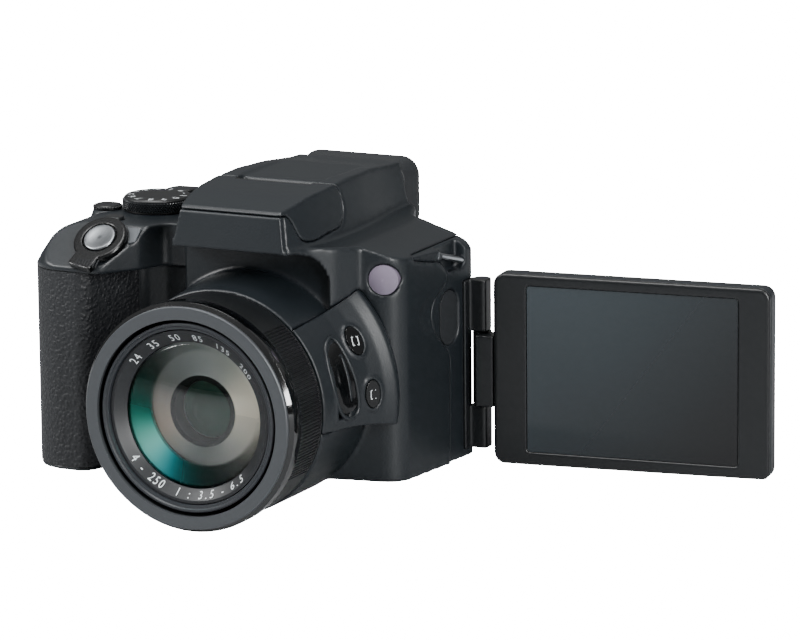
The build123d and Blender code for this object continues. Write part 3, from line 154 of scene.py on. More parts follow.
# The viewpoint, as solved from the photograph: 26 degrees towards the screen's side and 12 above, far
# off behind a long lens, so that the lines hardly run together.
turn, rise, roll = radians(26.07), radians(12.372), radians(-0.558)
beside, above, away = 29.165, 48.103, 1640.808
origin_z = -8.9148
back = Vector((sin(turn) * cos(rise), -cos(turn) * cos(rise), sin(rise)))
level = Vector((cos(turn), sin(turn), 0))
right = cos(roll) * level + sin(roll) * back.cross(level)
up = -sin(roll) * level + cos(roll) * back.cross(level)
lens = bpy.data.cameras.new("view")
lens.sensor_width, lens.lens = 36, 247.5
lens.clip_start, lens.clip_end = 0.1, 20
view = placed("view", lens)
place = level * beside + back.cross(level) * above + back * away + Vector((0, 0, origin_z))
view.matrix_world = Matrix.Translation(place * mm) @ Matrix((right, up, back)).transposed().to_4x4()
bpy.context.scene.camera = view

# Front shell and top cover. Two mouldings of glass-filled polycarbonate, screwed together; their seam
# closes so tightly that the cheeks read as one surface. The spark-eroded mould leaves them charcoal and
# matt, with a grain that spreads every highlight, and its generous radii catch a soft line of light.
nodes = frame["nodes"]
seam_z = 66.0 * mm
weld = 0.002 * mm


def merged(mesh):
    """Joins a mesh's loose triangles along their shared edges."""
    work = bmesh.new()
    work.from_mesh(mesh)
    bmesh.ops.remove_doubles(work, verts=work.verts, dist=weld)
    work.to_mesh(mesh)
    work.free()


def shown(name, mesh, material, body):
    """An object for a mesh that is in place already, riding on a body."""
    mesh.materials.clear()
    mesh.materials.append(material)
    made = placed(name, mesh)
    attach(made, body)
    return made


def evaluated(carrier):
    """What a carrier object's curve or modifiers make, as a plain mesh; the carrier goes."""
    bpy.context.view_layer.update()
    made = bpy.data.meshes.new_from_object(carrier.evaluated_get(bpy.context.evaluated_depsgraph_get()))
    made.name = carrier.name
    bpy.data.objects.remove(carrier)
    return made


def softened(name, sources, voxel_mm, passes):
    """One mesh of some CAD nodes, its edges rounded as the mould rounds them."""
    joined_up = bpy.data.meshes.new(name)
    work = bmesh.new()
    for source in sources:
        work.from_mesh(nodes[source].data)
    bmesh.ops.remove_doubles(work, verts=work.verts, dist=weld)
    if len(sources) > 1:
        # the upper piece's rim goes into the lower one, so that no skin stays between them
        for vert in work.verts:
            if 0 < vert.co.z - seam_z < 0.2 * mm:
                vert.co.z = seam_z - 0.3 * mm
    work.to_mesh(joined_up)
    work.free()
    carrier = placed(name, joined_up)
    remesh = carrier.modifiers.new("voxels", "REMESH")
    remesh.mode, remesh.voxel_size, remesh.use_smooth_shade = "VOXEL", voxel_mm * mm, True
    relax = carrier.modifiers.new("relax", "SMOOTH")
    relax.factor, relax.iterations = 0.5, passes
    return evaluated(carrier)


def moulded(name, colour, rough, grain_mm, depth_mm, **sockets):
    """Moulded plastic: even colour, a grain that breaks the light up, and handling that polishes it.

    The real grain is some 0.05 mm across; it is drawn several times coarser, so that it shows.
    """
    made, tree, shader = finish_of(name, colour, Roughness=rough, **sockets)
    place = add(tree, "ShaderNodeTexCoord").outputs["Object"]
    grain = add(tree, "ShaderNodeTexNoise", {"Vector": place, "Scale": 1 / (grain_mm * mm), "Detail": 2.0})
    bump = add(tree, "ShaderNodeBump", {"Height": grain.outputs["Fac"], "Distance": depth_mm * mm,
                                        "Strength": 1.0})
    edge_r = 0.35 * mm
    rounding = add(tree, "ShaderNodeBevel", {"Radius": edge_r}, samples=4)
    tree.links.new(rounding.outputs["Normal"], bump.inputs["Normal"])
    tree.links.new(bump.outputs["Normal"], shader.inputs["Normal"])
    patches_per_m, polish = 60.0, 0.04
    drift = add(tree, "ShaderNodeTexNoise", {"Vector": place, "Scale": patches_per_m, "Detail": 1.0})
    spread = add(tree, "ShaderNodeMapRange", {"Value": drift.outputs["Fac"], "To Min": rough - polish,
                                              "To Max": rough + polish})
    tree.links.new(spread.outputs["Result"], shader.inputs["Roughness"])
    return made


body_plastic = moulded("spark_eroded_polycarbonate", "151A1E", rough=0.38, grain_mm=0.45, depth_mm=0.03)


def halved(mesh, above):
    """The part of a mesh above or below the seam."""
    work = bmesh.new()
    work.from_mesh(mesh)
    bmesh.ops.bisect_plane(work, geom=work.verts[:] + work.edges[:] + work.faces[:], plane_co=(0, 0, seam_z),
                           plane_no=(0, 0, 1), clear_inner=above, clear_outer=not above)
    made = bpy.data.meshes.new("top_cover_look" if above else "front_shell_look")
    work.to_mesh(made)
    work.free()
    return made


shell_mesh = softened("front_and_top", ["front_shell", "top_cover"], voxel_mm=0.62, passes=5)
# the soft dimple in front of the microphone's door, a shallow bowl pressed into the cheek
dimple = Vector((75.6, -9, 47)) * mm
dimple_r, dimple_from_x, dimple_left = 31.5 * mm, 35 * mm, 0.15
for vert in shell_mesh.vertices:
    reach = vert.co - dimple
    if vert.co.x > dimple_from_x and reach.length < dimple_r:
        vert.co = dimple + reach.normalized() * (dimple_r + (reach.length - dimple_r) * dimple_left)
for above, node in ((False, "front_shell"), (True, "top_cover")):
    half = halved(shell_mesh, above)
    half.polygons.foreach_set("use_smooth", [True] * len(half.polygons))
    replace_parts(shown(half.name, half, body_plastic, "body"), node)

# Chassis. A thin casting of magnesium alloy that the boards and the lens are screwed to; as cast it is
# a dull silver grey.


def smooth(mesh):
    """Merges loose triangles and smooths every edge that turns less than 28 degrees."""
    merged(mesh)
    work = bmesh.new()
    work.from_mesh(mesh)
    turns_at = radians(28)
    for face in work.faces:
        face.smooth = True
    for edge in work.edges:
        edge.smooth = len(edge.link_faces) == 2 and edge.calc_face_angle(0) < turns_at
    work.to_mesh(mesh)
    work.free()


def dressed(node, material):
    """A smoothed copy of a CAD node's mesh, which stands for it on the same body."""
    mesh = nodes[node].data.copy()
    smooth(mesh)
    made = shown(node + "_look", mesh, material, nodes[node]["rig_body"])
    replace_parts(made, node)
    return made


cast_metal, tree, shader = finish_of("die_cast_magnesium", "8C8E90", Metallic=0.9, Roughness=0.5)
dressed("chassis", cast_metal)

# Sensor board. Glass-epoxy board under green solder resist, with the image sensor soldered to it; the
# resist gives it a smooth, half-gloss green.
board_green, tree, shader = finish_of("solder_resist_board", "1E5B38", Roughness=0.3)
dressed("sensor_board", board_green)

# Rear shell. The back moulding, with the recess that the closed screen lies in; same plastic and mould
# finish as the front, screwed to it from below.


def rounded_off(node, material, voxel_mm, passes):
    """A CAD node with its edges rounded, which stands for it on the same body."""
    mesh = softened(node + "_look", [node], voxel_mm, passes)
    made = shown(node + "_look", mesh, material, nodes[node]["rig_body"])
    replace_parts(made, node)
    return made


rounded_off("rear_shell", body_plastic, voxel_mm=0.7, passes=3)

# Side cover. A thin cheek of the same plastic on the screen's side, clipped over the seam of the two
# shells along its S-shaped edge.
rounded_off("side_cover", body_plastic, voxel_mm=0.4, passes=3)

# Deck cover. The shoulder over the grip that holds the controls, moulded with soft edges and screwed
# down from inside.
rounded_off("deck_cover", body_plastic, voxel_mm=0.42, passes=5)

# Grip skin. Moulded rubber, let into the shell and glued down, with a leather grain of rounded pebbles
# about a millimetre across. The pebbles' tops are worn a little smoother than the valleys.
grip_rubber, tree, shader = finish_of("leather_grain_rubber", "181A1D", Roughness=0.46)
pebble_mm, pebble_high_mm, wander_mm, wander_by_mm = 1.05, 0.17, 2.0, 0.9
place = add(tree, "ShaderNodeTexCoord").outputs["Object"]
wander = add(tree, "ShaderNodeTexNoise", {"Vector": place, "Scale": 1 / (wander_mm * mm), "Detail": 1.0})
shift = add(tree, "ShaderNodeVectorMath", {0: wander.outputs["Color"], 1: [wander_by_mm * mm] * 3},
            operation="MULTIPLY")
bent = add(tree, "ShaderNodeVectorMath", {0: place, 1: shift.outputs[0]}, operation="ADD")
pebble = add(tree, "ShaderNodeTexVoronoi", {"Vector": bent.outputs[0], "Scale": 1 / (pebble_mm * mm),
                                            "Smoothness": 0.35}, feature="SMOOTH_F1")
swell = add(tree, "ShaderNodeMapRange", {"Value": pebble.outputs["Distance"], "From Min": 0.15,
                                         "From Max": 0.75, "To Min": 1.0, "To Max": 0.0},
            interpolation_type="SMOOTHSTEP")
grain = add(tree, "ShaderNodeBump", {"Height": swell.outputs["Result"], "Distance": pebble_high_mm * mm,
                                     "Strength": 1.0})
tree.links.new(grain.outputs["Normal"], shader.inputs["Normal"])
worn = add(tree, "ShaderNodeMapRange", {"Value": swell.outputs["Result"], "To Min": 0.62, "To Max": 0.42})
tree.links.new(worn.outputs["Result"], shader.inputs["Roughness"])
dressed("grip_skin", grip_rubber)

# Battery and memory card. A lithium cell in a printed plastic wrap, left plain, and a moulded card; both
# slide in from below, and the wrap has a faint satin gloss.
cell_wrap = moulded("battery_wrap", "303336", rough=0.35, grain_mm=0.6, depth_mm=0.004)
dressed("battery", cell_wrap)
dressed("memory_card", cell_wrap)

# Base plate and battery door. Flat mouldings that close the camera from below; the door swings on a pin
# along its side.
dressed("base_plate", body_plastic)
dressed("battery_door", body_plastic)

# Base screws. Small cross-head screws that hold the base plate from below: cold-headed steel, zinc-plated
# and blackened, so they shine dark grey.
plated_steel, tree, shader = finish_of("black_zinc_steel", "3A3B3D", Metallic=1.0, Roughness=0.35)
dressed("base_screws", plated_steel)

# Tripod bush. The socket for a tripod's screw, turned from brass and pressed into the base plate; bare
# metal with a pale yellow shine.
bush_brass, tree, shader = finish_of("turned_brass", "B9A77C", Metallic=1.0, Roughness=0.28)
dressed("tripod_bush", bush_brass)

# Strap lugs. Polished steel bars across dark pockets in the shoulders, their ends cast into the shell;
# the polish gives a hard, bright line.
lug_steel, tree, shader = finish_of("polished_steel_bar", "C4C8CC", Metallic=1.0, Roughness=0.2)
dressed("strap_lugs", lug_steel)

# Microphone door. A soft black rubber flap, plugged into the socket and bending at its rear edge; the
# rubber is duller than the shell round it.
soft_rubber = moulded("soft_black_rubber", "1A1D20", rough=0.6, grain_mm=0.5, depth_mm=0.02)
dressed("mic_door", soft_rubber)

# Terminal door and sockets. A hinged door of the shell's plastic, and behind it the black blocks of the
# sockets, moulded smooth in ABS, which leaves a light gloss.
smooth_plastic = moulded("polished_mould_abs", "0F1113", rough=0.32, grain_mm=0.6, depth_mm=0.006)
dressed("terminal_door", body_plastic)
dressed("sockets", smooth_plastic)

# Outer barrel. The fixed sleeve of the lens, turned smooth, with fine ribs for the fingers, screwed to
# the chassis; black polycarbonate with a soft sheen.
barrel_plastic = moulded("barrel_polycarbonate", "0E1012", rough=0.36, grain_mm=0.5, depth_mm=0.012)
dressed("outer_barrel", barrel_plastic)

# Barrel ring. A ring of black ABS, moulded in a polished tool and snapped over the sleeve's front; it
# mirrors the softboxes.
gloss_black = moulded("piano_black_abs", "050607", rough=0.07, grain_mm=0.8, depth_mm=0.0, Coat_Weight=0.6)
dressed("barrel_ring", gloss_black)

# Outer zoom tube and its front ring. The tube slides in the sleeve; the ring in front is aluminium in a
# satin grey lacquer, screwed on, and keeps an even grey from every side.
dressed("zoom_tube_outer", barrel_plastic)
grey_ring, tree, shader = finish_of("satin_lacquered_aluminium", "484B4E", Metallic=0.4, Roughness=0.42)
dressed("front_ring", grey_ring)

# Inner zoom tube. Turned aluminium that slides in the outer tube, with stepped rings at its mouth;
# anodised a satin black, so that the steps show as fine grey lines.
tube_satin, tree, shader = finish_of("satin_black_tube", "26292D", Roughness=0.4)
dressed("zoom_tube_inner", tube_satin)

# Name ring. A turned and blackened dish round the front glass, screwed into the inner tube, with a scale
# of plain numbers cut in and filled with white paint.
lens_z = 26.5 * mm
dish_y, dish_r = 68.85, 21.65
dish_wide, dish_deep = 2.73, 2.5
paint_mm, number_mm, number_r = 0.06, 2.9, 23.15
ring_black, tree, shader = finish_of("blackened_dish", "16181B", Roughness=0.42)
white_fill, tree, shader = finish_of("white_scale_ink", "DDE2E4", Roughness=0.5)
dressed("name_ring", ring_black)


def glyph(text, size_mm):
    """A sign as a flat mesh, centred on the origin, facing +Z."""
    curve = bpy.data.curves.new("sign", "FONT")
    curve.body, curve.size = text, size_mm * mm
    curve.align_x, curve.align_y = "CENTER", "CENTER"
    return evaluated(placed("sign", curve))


def joined(name, parts):
    """One mesh of some meshes, each put in its place by a matrix or a function."""
    work = bmesh.new()
    for mesh, where in parts:
        start = len(work.verts)
        work.from_mesh(mesh)
        work.verts.ensure_lookup_table()
        for vert in work.verts[start:]:
            vert.co = where @ vert.co if isinstance(where, Matrix) else where(vert.co)
    made = bpy.data.meshes.new(name)
    work.to_mesh(made)
    work.free()
    return made


def on_dish(middle_deg):
    """Puts a flat sign on the name ring's sloping face, its foot towards the glass or away from it."""
    def where(co):
        upper = sin(radians(middle_deg)) > 0
        r = number_r * mm + (co.y if upper else -co.y)
        a = radians(middle_deg) + (-co.x if upper else co.x) / (number_r * mm)
        depth = dish_y + (r / mm - dish_r) / dish_wide * dish_deep
        return Vector((r * cos(a), -(depth + paint_mm) * mm, lens_z + r * sin(a)))
    return where


signs = []
for text, start_deg, step_deg in (("24  35  50  85  135  200", 141, -4.6),
                                  ("4 - 250  1 : 3.5 - 6.5", 217, 4.6)):
    for i, letter in enumerate(text):
        if letter != " ":
            signs.append((glyph(letter, number_mm), on_dish(start_deg + i * step_deg)))
shown("name_ring_numbers", joined("name_ring_numbers", signs), white_fill, "lens_inner")

# Front glass. A ground and polished meniscus, hollow behind, so that it doesn't bend what lies deeper,
# held by the name ring. A teal reflection is painted over it as a tinted gloss, by angle round the axis,
# outside a circle that leans to the hinge side.
glass_r, glass_front_y, glass_dome, glass_back_y, glass_hollow = 21.3, -68.6, 2.5, -66.3, 2.4
painted_teal_x, painted_teal_z, painted_teal_from, painted_teal_full = 3.9, 2.6, 16.2, 17.4


def lathed(name, profile_mm, steps=128):
    """A mesh turned about the lens axis from (y, radius) points; a radius of 0 is a point on the axis."""
    work = bmesh.new()
    rows = []
    for y, r in profile_mm:
        turns = [2 * pi * i / steps for i in range(steps if r else 1)]
        rows.append([work.verts.new((r * mm * cos(a), y * mm, lens_z + r * mm * sin(a))) for a in turns])
    for low, high in zip(rows, rows[1:]):
        for i in range(steps):
            j = (i + 1) % steps
            ring = [low[i % len(low)], low[j % len(low)], high[j % len(high)], high[i % len(high)]]
            ring = [v for k, v in enumerate(ring) if v not in ring[:k]]
            if len(ring) > 2:
                work.faces.new(ring)
    bmesh.ops.recalc_face_normals(work, faces=work.faces)
    for face in work.faces:
        face.smooth = True
    made = bpy.data.meshes.new(name)
    work.to_mesh(made)
    work.free()
    return made


def bowl(rim_y, rim_r, rise, rows=20):
    """(y, radius) points of a dome from its rim to its top."""
    return [(rim_y - rise * (1 - (1 - i / rows) ** 2), rim_r * (1 - i / rows)) for i in range(rows + 1)]


def by_angle(tree, stops):
    """A colour ramp of painted reflections that runs round the lens axis, from the hinge side over the top,
    and the radius.
    """
    place = add(tree, "ShaderNodeTexCoord").outputs["Object"]
    centred = add(tree, "ShaderNodeMapping", {"Vector": place, "Location": (0, lens_z, 0),
                                              "Rotation": (-pi / 2, 0, 0), "Scale": (-1, 1, -1)})
    around = add(tree, "ShaderNodeTexGradient", {"Vector": centred.outputs[0]}, gradient_type="RADIAL")
    painted_hues = add(tree, "ShaderNodeValToRGB", {0: around.outputs["Fac"]})
    painted_hues.color_ramp.interpolation = "B_SPLINE"
    elements = painted_hues.color_ramp.elements
    while len(elements) < len(stops):
        elements.new(0.5)
    for element, (at, code, strength) in zip(elements, stops):
        element.position, element.color = at, sheet_colour(code)[:3] + [strength]
    flat = add(tree, "ShaderNodeVectorMath", {0: centred.outputs[0], 1: (1, 1, 0)}, operation="MULTIPLY")
    return painted_hues, add(tree, "ShaderNodeVectorMath", {0: flat.outputs[0]}, operation="LENGTH").outputs["Value"]


glass_painted_teal, tree, shader = finish_of("multicoated_glass", "FFFFFF", Roughness=0.0, IOR=1.5)
shader.inputs["Transmission Weight"].default_value = 1.0
shader.inputs["Specular IOR Level"].default_value = 0.15
# painted reflection: teal to dark green colours by angle round the lens axis
painted_hues = by_angle(tree, (
    (0.0, "0A1412", 0.0), (0.3, "0A1412", 0.1), (0.4, "0B2A26", 0.6), (0.48, "0D4A40", 0.85),
    (0.53, "15806F", 0.95), (0.6, "8FE0D0", 1.0), (0.66, "1C97A0", 0.95), (0.71, "0B4440", 0.85),
    (0.78, "081A18", 0.85), (0.88, "0A1412", 0.6), (1.0, "0A1412", 0.0)))[0]
# where the painted reflection shows: outside a circle set off towards the hinge side
place = add(tree, "ShaderNodeTexCoord").outputs["Object"]
from_middle = add(tree, "ShaderNodeVectorMath", {0: place, 1: (painted_teal_x * mm, 0, lens_z + painted_teal_z * mm)},
                  operation="SUBTRACT")
flat = add(tree, "ShaderNodeVectorMath", {0: from_middle.outputs[0], 1: (1, 0, 1)}, operation="MULTIPLY")
off = add(tree, "ShaderNodeVectorMath", {0: flat.outputs[0]}, operation="LENGTH")
edge = add(tree, "ShaderNodeMapRange", {"Value": off.outputs["Value"], "From Min": painted_teal_from * mm,
                                        "From Max": painted_teal_full * mm}, interpolation_type="SMOOTHSTEP")
strength = add(tree, "ShaderNodeMath", {0: edge.outputs["Result"], 1: painted_hues.outputs["Alpha"]},
               operation="MULTIPLY")
sheen = add(tree, "ShaderNodeBsdfGlossy", {"Color": painted_hues.outputs["Color"], "Roughness": 0.35})
layers = add(tree, "ShaderNodeMixShader", {0: strength.outputs[0], 1: shader.outputs[0], 2: sheen.outputs[0]})
tree.links.new(layers.outputs[0], tree.nodes["Material Output"].inputs["Surface"])
hollow = list(reversed(bowl(glass_back_y, glass_r, glass_hollow)))
front_glass = lathed("front_glass_look", hollow + bowl(glass_front_y, glass_r, glass_dome))
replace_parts(shown("front_glass_look", front_glass, glass_painted_teal, "lens_inner"), "front_glass")

# Inner cone. The baffle behind the front glass: a shallow dish with the second group's mouth in it, then
# the tube that holds the group. Satin black paint; reflections of straw and grey are painted round it by
# angle, with a faint painted glow, and the mouth and tube are painted near black as shade.
cone_rim = [(-66.1, 21.25), (-65.7, 20.6)]
mouth_y, mouth_r, mouth_lip = -62.2, 9.3, [(-62.5, 9.1), (-62.3, 8.8), (-47.5, 8.7)]
dish_steps, dish_rise, dish_reach, dish_curl = 12, 3.3, 11.2, 1.7
dark_r, light_r = 10.2, 10.6
cone_painted_light, tree, shader = finish_of("satin_coated_cone", "2C3230", Roughness=0.4)
# painted reflections: straw, grey and green by angle round the axis
painted_hues, radius = by_angle(tree, (
    (0.0, "B9B39F", 1.0), (0.06, "D6D0BC", 1.0), (0.14, "7F8680", 1.0), (0.24, "6C7472", 1.0),
    (0.36, "3A423F", 1.0), (0.45, "5E625C", 1.0), (0.56, "B7A493", 1.0), (0.66, "6E7A76", 1.0),
    (0.76, "28332F", 1.0), (0.88, "6A706A", 1.0), (1.0, "B9B39F", 1.0)))
# painted shade: near black, without reflection, inside the mouth and down the tube
inside = add(tree, "ShaderNodeMapRange", {"Value": radius, "From Min": dark_r * mm, "From Max": light_r * mm})
toned = add(tree, "ShaderNodeMix", {0: inside.outputs["Result"], 6: sheet_colour("020B08"),
                                    7: painted_hues.outputs["Color"]}, data_type="RGBA")
tree.links.new(toned.outputs[2], shader.inputs["Base Color"])
tree.links.new(toned.outputs[2], shader.inputs["Emission Color"])
tree.links.new(inside.outputs["Result"], shader.inputs["Specular IOR Level"])
# painted glow: the cone gives off a little light in its painted colours
shader.inputs["Emission Strength"].default_value = 0.16
dish = [(mouth_y - dish_rise * (i / dish_steps) ** dish_curl, mouth_r + dish_reach * i / dish_steps)
        for i in range(dish_steps, -1, -1)]
cone = lathed("inner_cone_look", cone_rim + dish + mouth_lip)
cone.flip_normals()
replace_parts(shown("inner_cone_look", cone, cone_painted_light, "lens_inner"), "inner_cone")

# Second group. A small domed glass behind the stepped edges of its retaining rings, cemented into the
# cone's tube; little light comes back from inside, so it is painted a deep bottle green as shade, with a
# faint painted glow.
second_coat, tree, shader = finish_of("second_group_glass", "061A13", Roughness=0.32, IOR=1.3)
shader.inputs["Specular Tint"].default_value = sheet_colour("8FE6C8")
# painted glow: the glass gives off a faint green light though it is no lamp
shader.inputs["Emission Color"].default_value = sheet_colour("12382B")
shader.inputs["Emission Strength"].default_value = 0.12
second = lathed("second_glass_look", [
    (-47.0, 0.0), (-47.0, 8.6), (-57.6, 8.6), (-57.9, 8.0), (-57.5, 7.8), (-58.6, 6.6), (-58.3, 6.3),
    (-59.3, 4.6), (-59.9, 2.4), (-60.1, 0.0)])
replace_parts(shown("second_glass_look", second, second_coat, "lens_inner"), "second_glass")

# Barrel pad. A moulding of the shell's plastic that wraps the sleeve's side, clipped on from outside,
# with a rounded bead round the trough for the finger.
rounded_off("barrel_pad", body_plastic, voxel_mm=0.4, passes=6)
# (reach in front, degrees round the lens axis) points of the bead, and (reach, radius) of the pad
ridge_places = ((45.8, 28.8), (42.0, 33.1), (39.1, 34.1), (38.0, 24.3), (37.1, 15.4), (36.5, 9.0),
                (35.9, -3.6), (38.5, -6.2), (41.6, -5.8), (44.6, -2.5), (46.9, 12.5))
pad_line = ((51.6, 33.3), (44.0, 34.9), (37.0, 36.4), (32.0, 38.5), (28.0, 41.0))
bead_mm, bead_lift = 1.3, 0.15


def on_pad(reach, deg, lift_mm):
    """A point over the pad's swelling surface."""
    for (far_y, far_r), (near_y, near_r) in zip(pad_line, pad_line[1:]):
        if near_y <= reach <= far_y:
            r = near_r + (far_r - near_r) * (reach - near_y) / (far_y - near_y) + lift_mm
    return Vector((r * mm * cos(radians(deg)), -reach * mm, lens_z + r * mm * sin(radians(deg))))


def bead(name, points, thick_mm):
    """A smooth round bead that closes on itself through some points."""
    curve = bpy.data.curves.new(name, "CURVE")
    curve.dimensions, curve.bevel_depth = "3D", thick_mm / 2 * mm
    curve.bevel_resolution, curve.resolution_u = 4, 12
    line = curve.splines.new("NURBS")
    line.points.add(len(points) - 1)
    for spot, co in zip(line.points, points):
        spot.co = (*co, 1.0)
    line.use_cyclic_u, line.order_u = True, 4
    made = evaluated(placed(name, curve))
    made.polygons.foreach_set("use_smooth", [True] * len(made.polygons))
    return made


ridge = bead("pad_ridge", [on_pad(y, deg, bead_lift) for y, deg in ridge_places], bead_mm)
shown("pad_ridge", ridge, body_plastic, "body")

# Finger rest. A glossy ABS insert pressed into the trough; it fills the bead and is hollowed along its
# middle, so that a highlight runs down it. Its rings shrink from the bead to the middle and sink.
gloss_key = moulded("gloss_key_abs", "060708", rough=0.14, grain_mm=0.8, depth_mm=0.002)
rest_rings = ((0.9, -0.25), (0.78, 0.45), (0.6, 0.35), (0.35, 0.12), (0.12, 0.08))
middle_y = sum(y for y, _ in ridge_places) / len(ridge_places)
middle_deg = sum(deg for _, deg in ridge_places) / len(ridge_places)
rest = bmesh.new()
rings = []
for share, lift in rest_rings:
    rings.append([rest.verts.new(on_pad(middle_y + (y - middle_y) * share,
                                        middle_deg + (deg - middle_deg) * share, lift))
                  for y, deg in ridge_places])
for outer, inner in zip(rings, rings[1:]):
    for i in range(len(outer)):
        j = (i + 1) % len(outer)
        rest.faces.new((outer[j], outer[i], inner[i], inner[j]))
rest.faces.new(list(reversed(rings[-1])))
bmesh.ops.subdivide_edges(rest, edges=rest.edges[:], cuts=1, smooth=1.0, use_grid_fill=True)
bmesh.ops.recalc_face_normals(rest, faces=rest.faces)
rest_mesh = bpy.data.meshes.new("finger_rest_look")
rest.to_mesh(rest_mesh)
rest.free()
rest_mesh.polygons.foreach_set("use_smooth", [True] * len(rest_mesh.polygons))
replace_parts(shown("finger_rest_look", rest_mesh, gloss_key, "body"), "finger_rest")

# Pad keys. Two oval keys of the same glossy ABS in the pad's dimples, each on a dome switch, with a plain
# sign filled in white.
sign_lift, sign_tilt, pad_sign_mm = 0.42, -0.5, 3.0
for place, reach, deg in (("upper", 33.0, 27.5), ("lower", 31.4, 3.0)):
    dressed("pad_button_" + place, gloss_key)
    spot = on_pad(reach, deg, sign_lift)
    outward = Vector((cos(radians(deg)), sign_tilt, sin(radians(deg)))).normalized()
    turned = outward.to_track_quat("Z", "Y").to_matrix().to_4x4()
    sign = joined(place + "_key_sign", [(glyph("[ ]", pad_sign_mm), Matrix.Translation(spot) @ turned)])
    shown(sign.name, sign, white_fill, "pad_button_" + place + "_key")

# Focus-assist lamp. A lens of frosted acrylic, pressed into its ring in the shell; the frosting gives it
# an even, purplish grey.
lamp_lens, tree, shader = finish_of("frosted_lamp_acrylic", "7D7484", Roughness=0.25)
dressed("assist_lamp", lamp_lens)

# Front plate. A bare plate that closes the nose of the hump, moulded like the shell and clipped in from
# the front.
rounded_off("front_plate", body_plastic, voxel_mm=0.3, passes=3)

# Flash. A glass tube before a bright, aluminised reflector, and a clear acrylic window over both, all
# three clipped into the lid and hidden while it is down.
reflector, tree, shader = finish_of("flash_reflector", "E0E4E8", Metallic=1.0, Roughness=0.12)
dressed("flash_tube", reflector)
clear_glass, tree, shader = finish_of("clear_window_acrylic", "F2F5F8", Roughness=0.1)
shader.inputs["Transmission Weight"].default_value = 1.0
dressed("flash_window", clear_glass)

# Flash lid. It carries the flash, folds down over the nose and turns on pins at its rear edge, where a
# slot in its top leaves room for the hinge; the slot and the top round it are painted near black as shade.
slot_half, slot_from_y, slot_over_z, slot_deep = 12, -17.2, 83.6, 1.9
dark_half, dark_from_y, dark_over_z = 12.4, -17.6, 81.0
lid_look = rounded_off("flash_lid", body_plastic, voxel_mm=0.45, passes=3)
slot_painted_shade, tree, shader = finish_of("slot_shadow_black", "020303", Roughness=0.8)
lid_look.data.materials.append(slot_painted_shade)
for vert in lid_look.data.vertices:
    x, y, z = vert.co / mm
    if abs(x) < slot_half and y > slot_from_y and z > slot_over_z:
        vert.co.z -= slot_deep * mm
# painted shade: faces in and round the slot take the near-black finish
for face in lid_look.data.polygons:
    corners = [lid_look.data.vertices[v].co for v in face.vertices]
    x, y, z = sum(corners, Vector()) / len(corners) / mm
    if abs(x) < dark_half and y > dark_from_y and z > dark_over_z:
        face.material_index = 1

# Mode dial. Moulded in black ABS and snapped on its shaft. Its rim is cut with rows of small pyramids for
# the thumb, which glitter, and its top carries plain numbers and signs in white.
dial_black = moulded("dial_abs", "0D0F11", rough=0.38, grain_mm=0.5, depth_mm=0.01)
dressed("mode_dial", dial_black)
dial_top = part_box("mode_dial")[1][2]
at_dial = Matrix.Translation((-42.7 * mm, -9.2 * mm, 0))
dial_sign_mm, dial_sign_r, sign_thick = 3.4, 8.1, 0.05


def tree_of(name, *inputs):
    """A Geometry Nodes tree with some named inputs, and their sockets."""
    made = bpy.data.node_groups.new(name, "GeometryNodeTree")
    made.interface.new_socket(name="Geometry", in_out="OUTPUT", socket_type="NodeSocketGeometry")
    for title, kind in inputs:
        made.interface.new_socket(name=title, in_out="INPUT", socket_type="NodeSocket" + kind)
    return made, add(made, "NodeGroupInput").outputs


def grown(name, tree, body, where, **values):
    """What a tree makes of some values, as a plain mesh put in place by a matrix, riding on a body."""
    carrier = placed(name, bpy.data.meshes.new(name))
    maker = carrier.modifiers.new("maker", "NODES")
    maker.node_group = tree
    for item in tree.interface.items_tree:
        if item.in_out == "INPUT":
            maker[item.identifier] = values[item.name.replace(" ", "_")]
    mesh = evaluated(carrier)
    mesh.transform(where)
    return shown(name, mesh, values["Finish"], body)


studs, entry = tree_of("rows_of_studs", ("Radius", "Float"), ("First Row", "Float"), ("Row Pitch", "Float"),
                       ("Rows", "Int"), ("Around", "Int"), ("Sides", "Int"), ("Width", "Float"),
                       ("Length", "Float"), ("Depth", "Float"), ("Finish", "Material"))
hoop = add(studs, "GeometryNodeMeshCircle", {"Vertices": entry["Around"], "Radius": entry["Radius"]})
first = add(studs, "ShaderNodeCombineXYZ", {"Z": entry["First Row"]})
step = add(studs, "ShaderNodeCombineXYZ", {"Z": entry["Row Pitch"]})
ladder = add(studs, "GeometryNodeMeshLine", {"Count": entry["Rows"], "Start Location": first.outputs[0],
                                             "Offset": step.outputs[0]})
index = add(studs, "GeometryNodeInputIndex").outputs[0]
odd = add(studs, "ShaderNodeMath", {0: index, 1: 2.0}, operation="MODULO")
half_pitch = add(studs, "ShaderNodeMath", {0: pi, 1: entry["Around"]}, operation="DIVIDE")
stagger = add(studs, "ShaderNodeMath", {0: odd.outputs[0], 1: half_pitch.outputs[0]}, operation="MULTIPLY")
twist = add(studs, "ShaderNodeCombineXYZ", {"Z": stagger.outputs[0]})
hoops = add(studs, "GeometryNodeInstanceOnPoints", {"Points": ladder.outputs[0], "Instance": hoop.outputs[0],
                                                    "Rotation": twist.outputs[0]})
spots = add(studs, "GeometryNodeRealizeInstances", {"Geometry": hoops.outputs[0]})
spot = add(studs, "GeometryNodeInputPosition").outputs[0]
where = add(studs, "ShaderNodeVectorMath", {0: spot, 1: (1, 1, 0)}, operation="MULTIPLY")
outward = add(studs, "FunctionNodeAlignRotationToVector", {"Vector": where.outputs[0]}, axis="Z")
upright = add(studs, "FunctionNodeAlignRotationToVector",
              {"Rotation": outward.outputs[0], "Vector": (0, 0, 1)}, axis="Y", pivot_axis="Z")
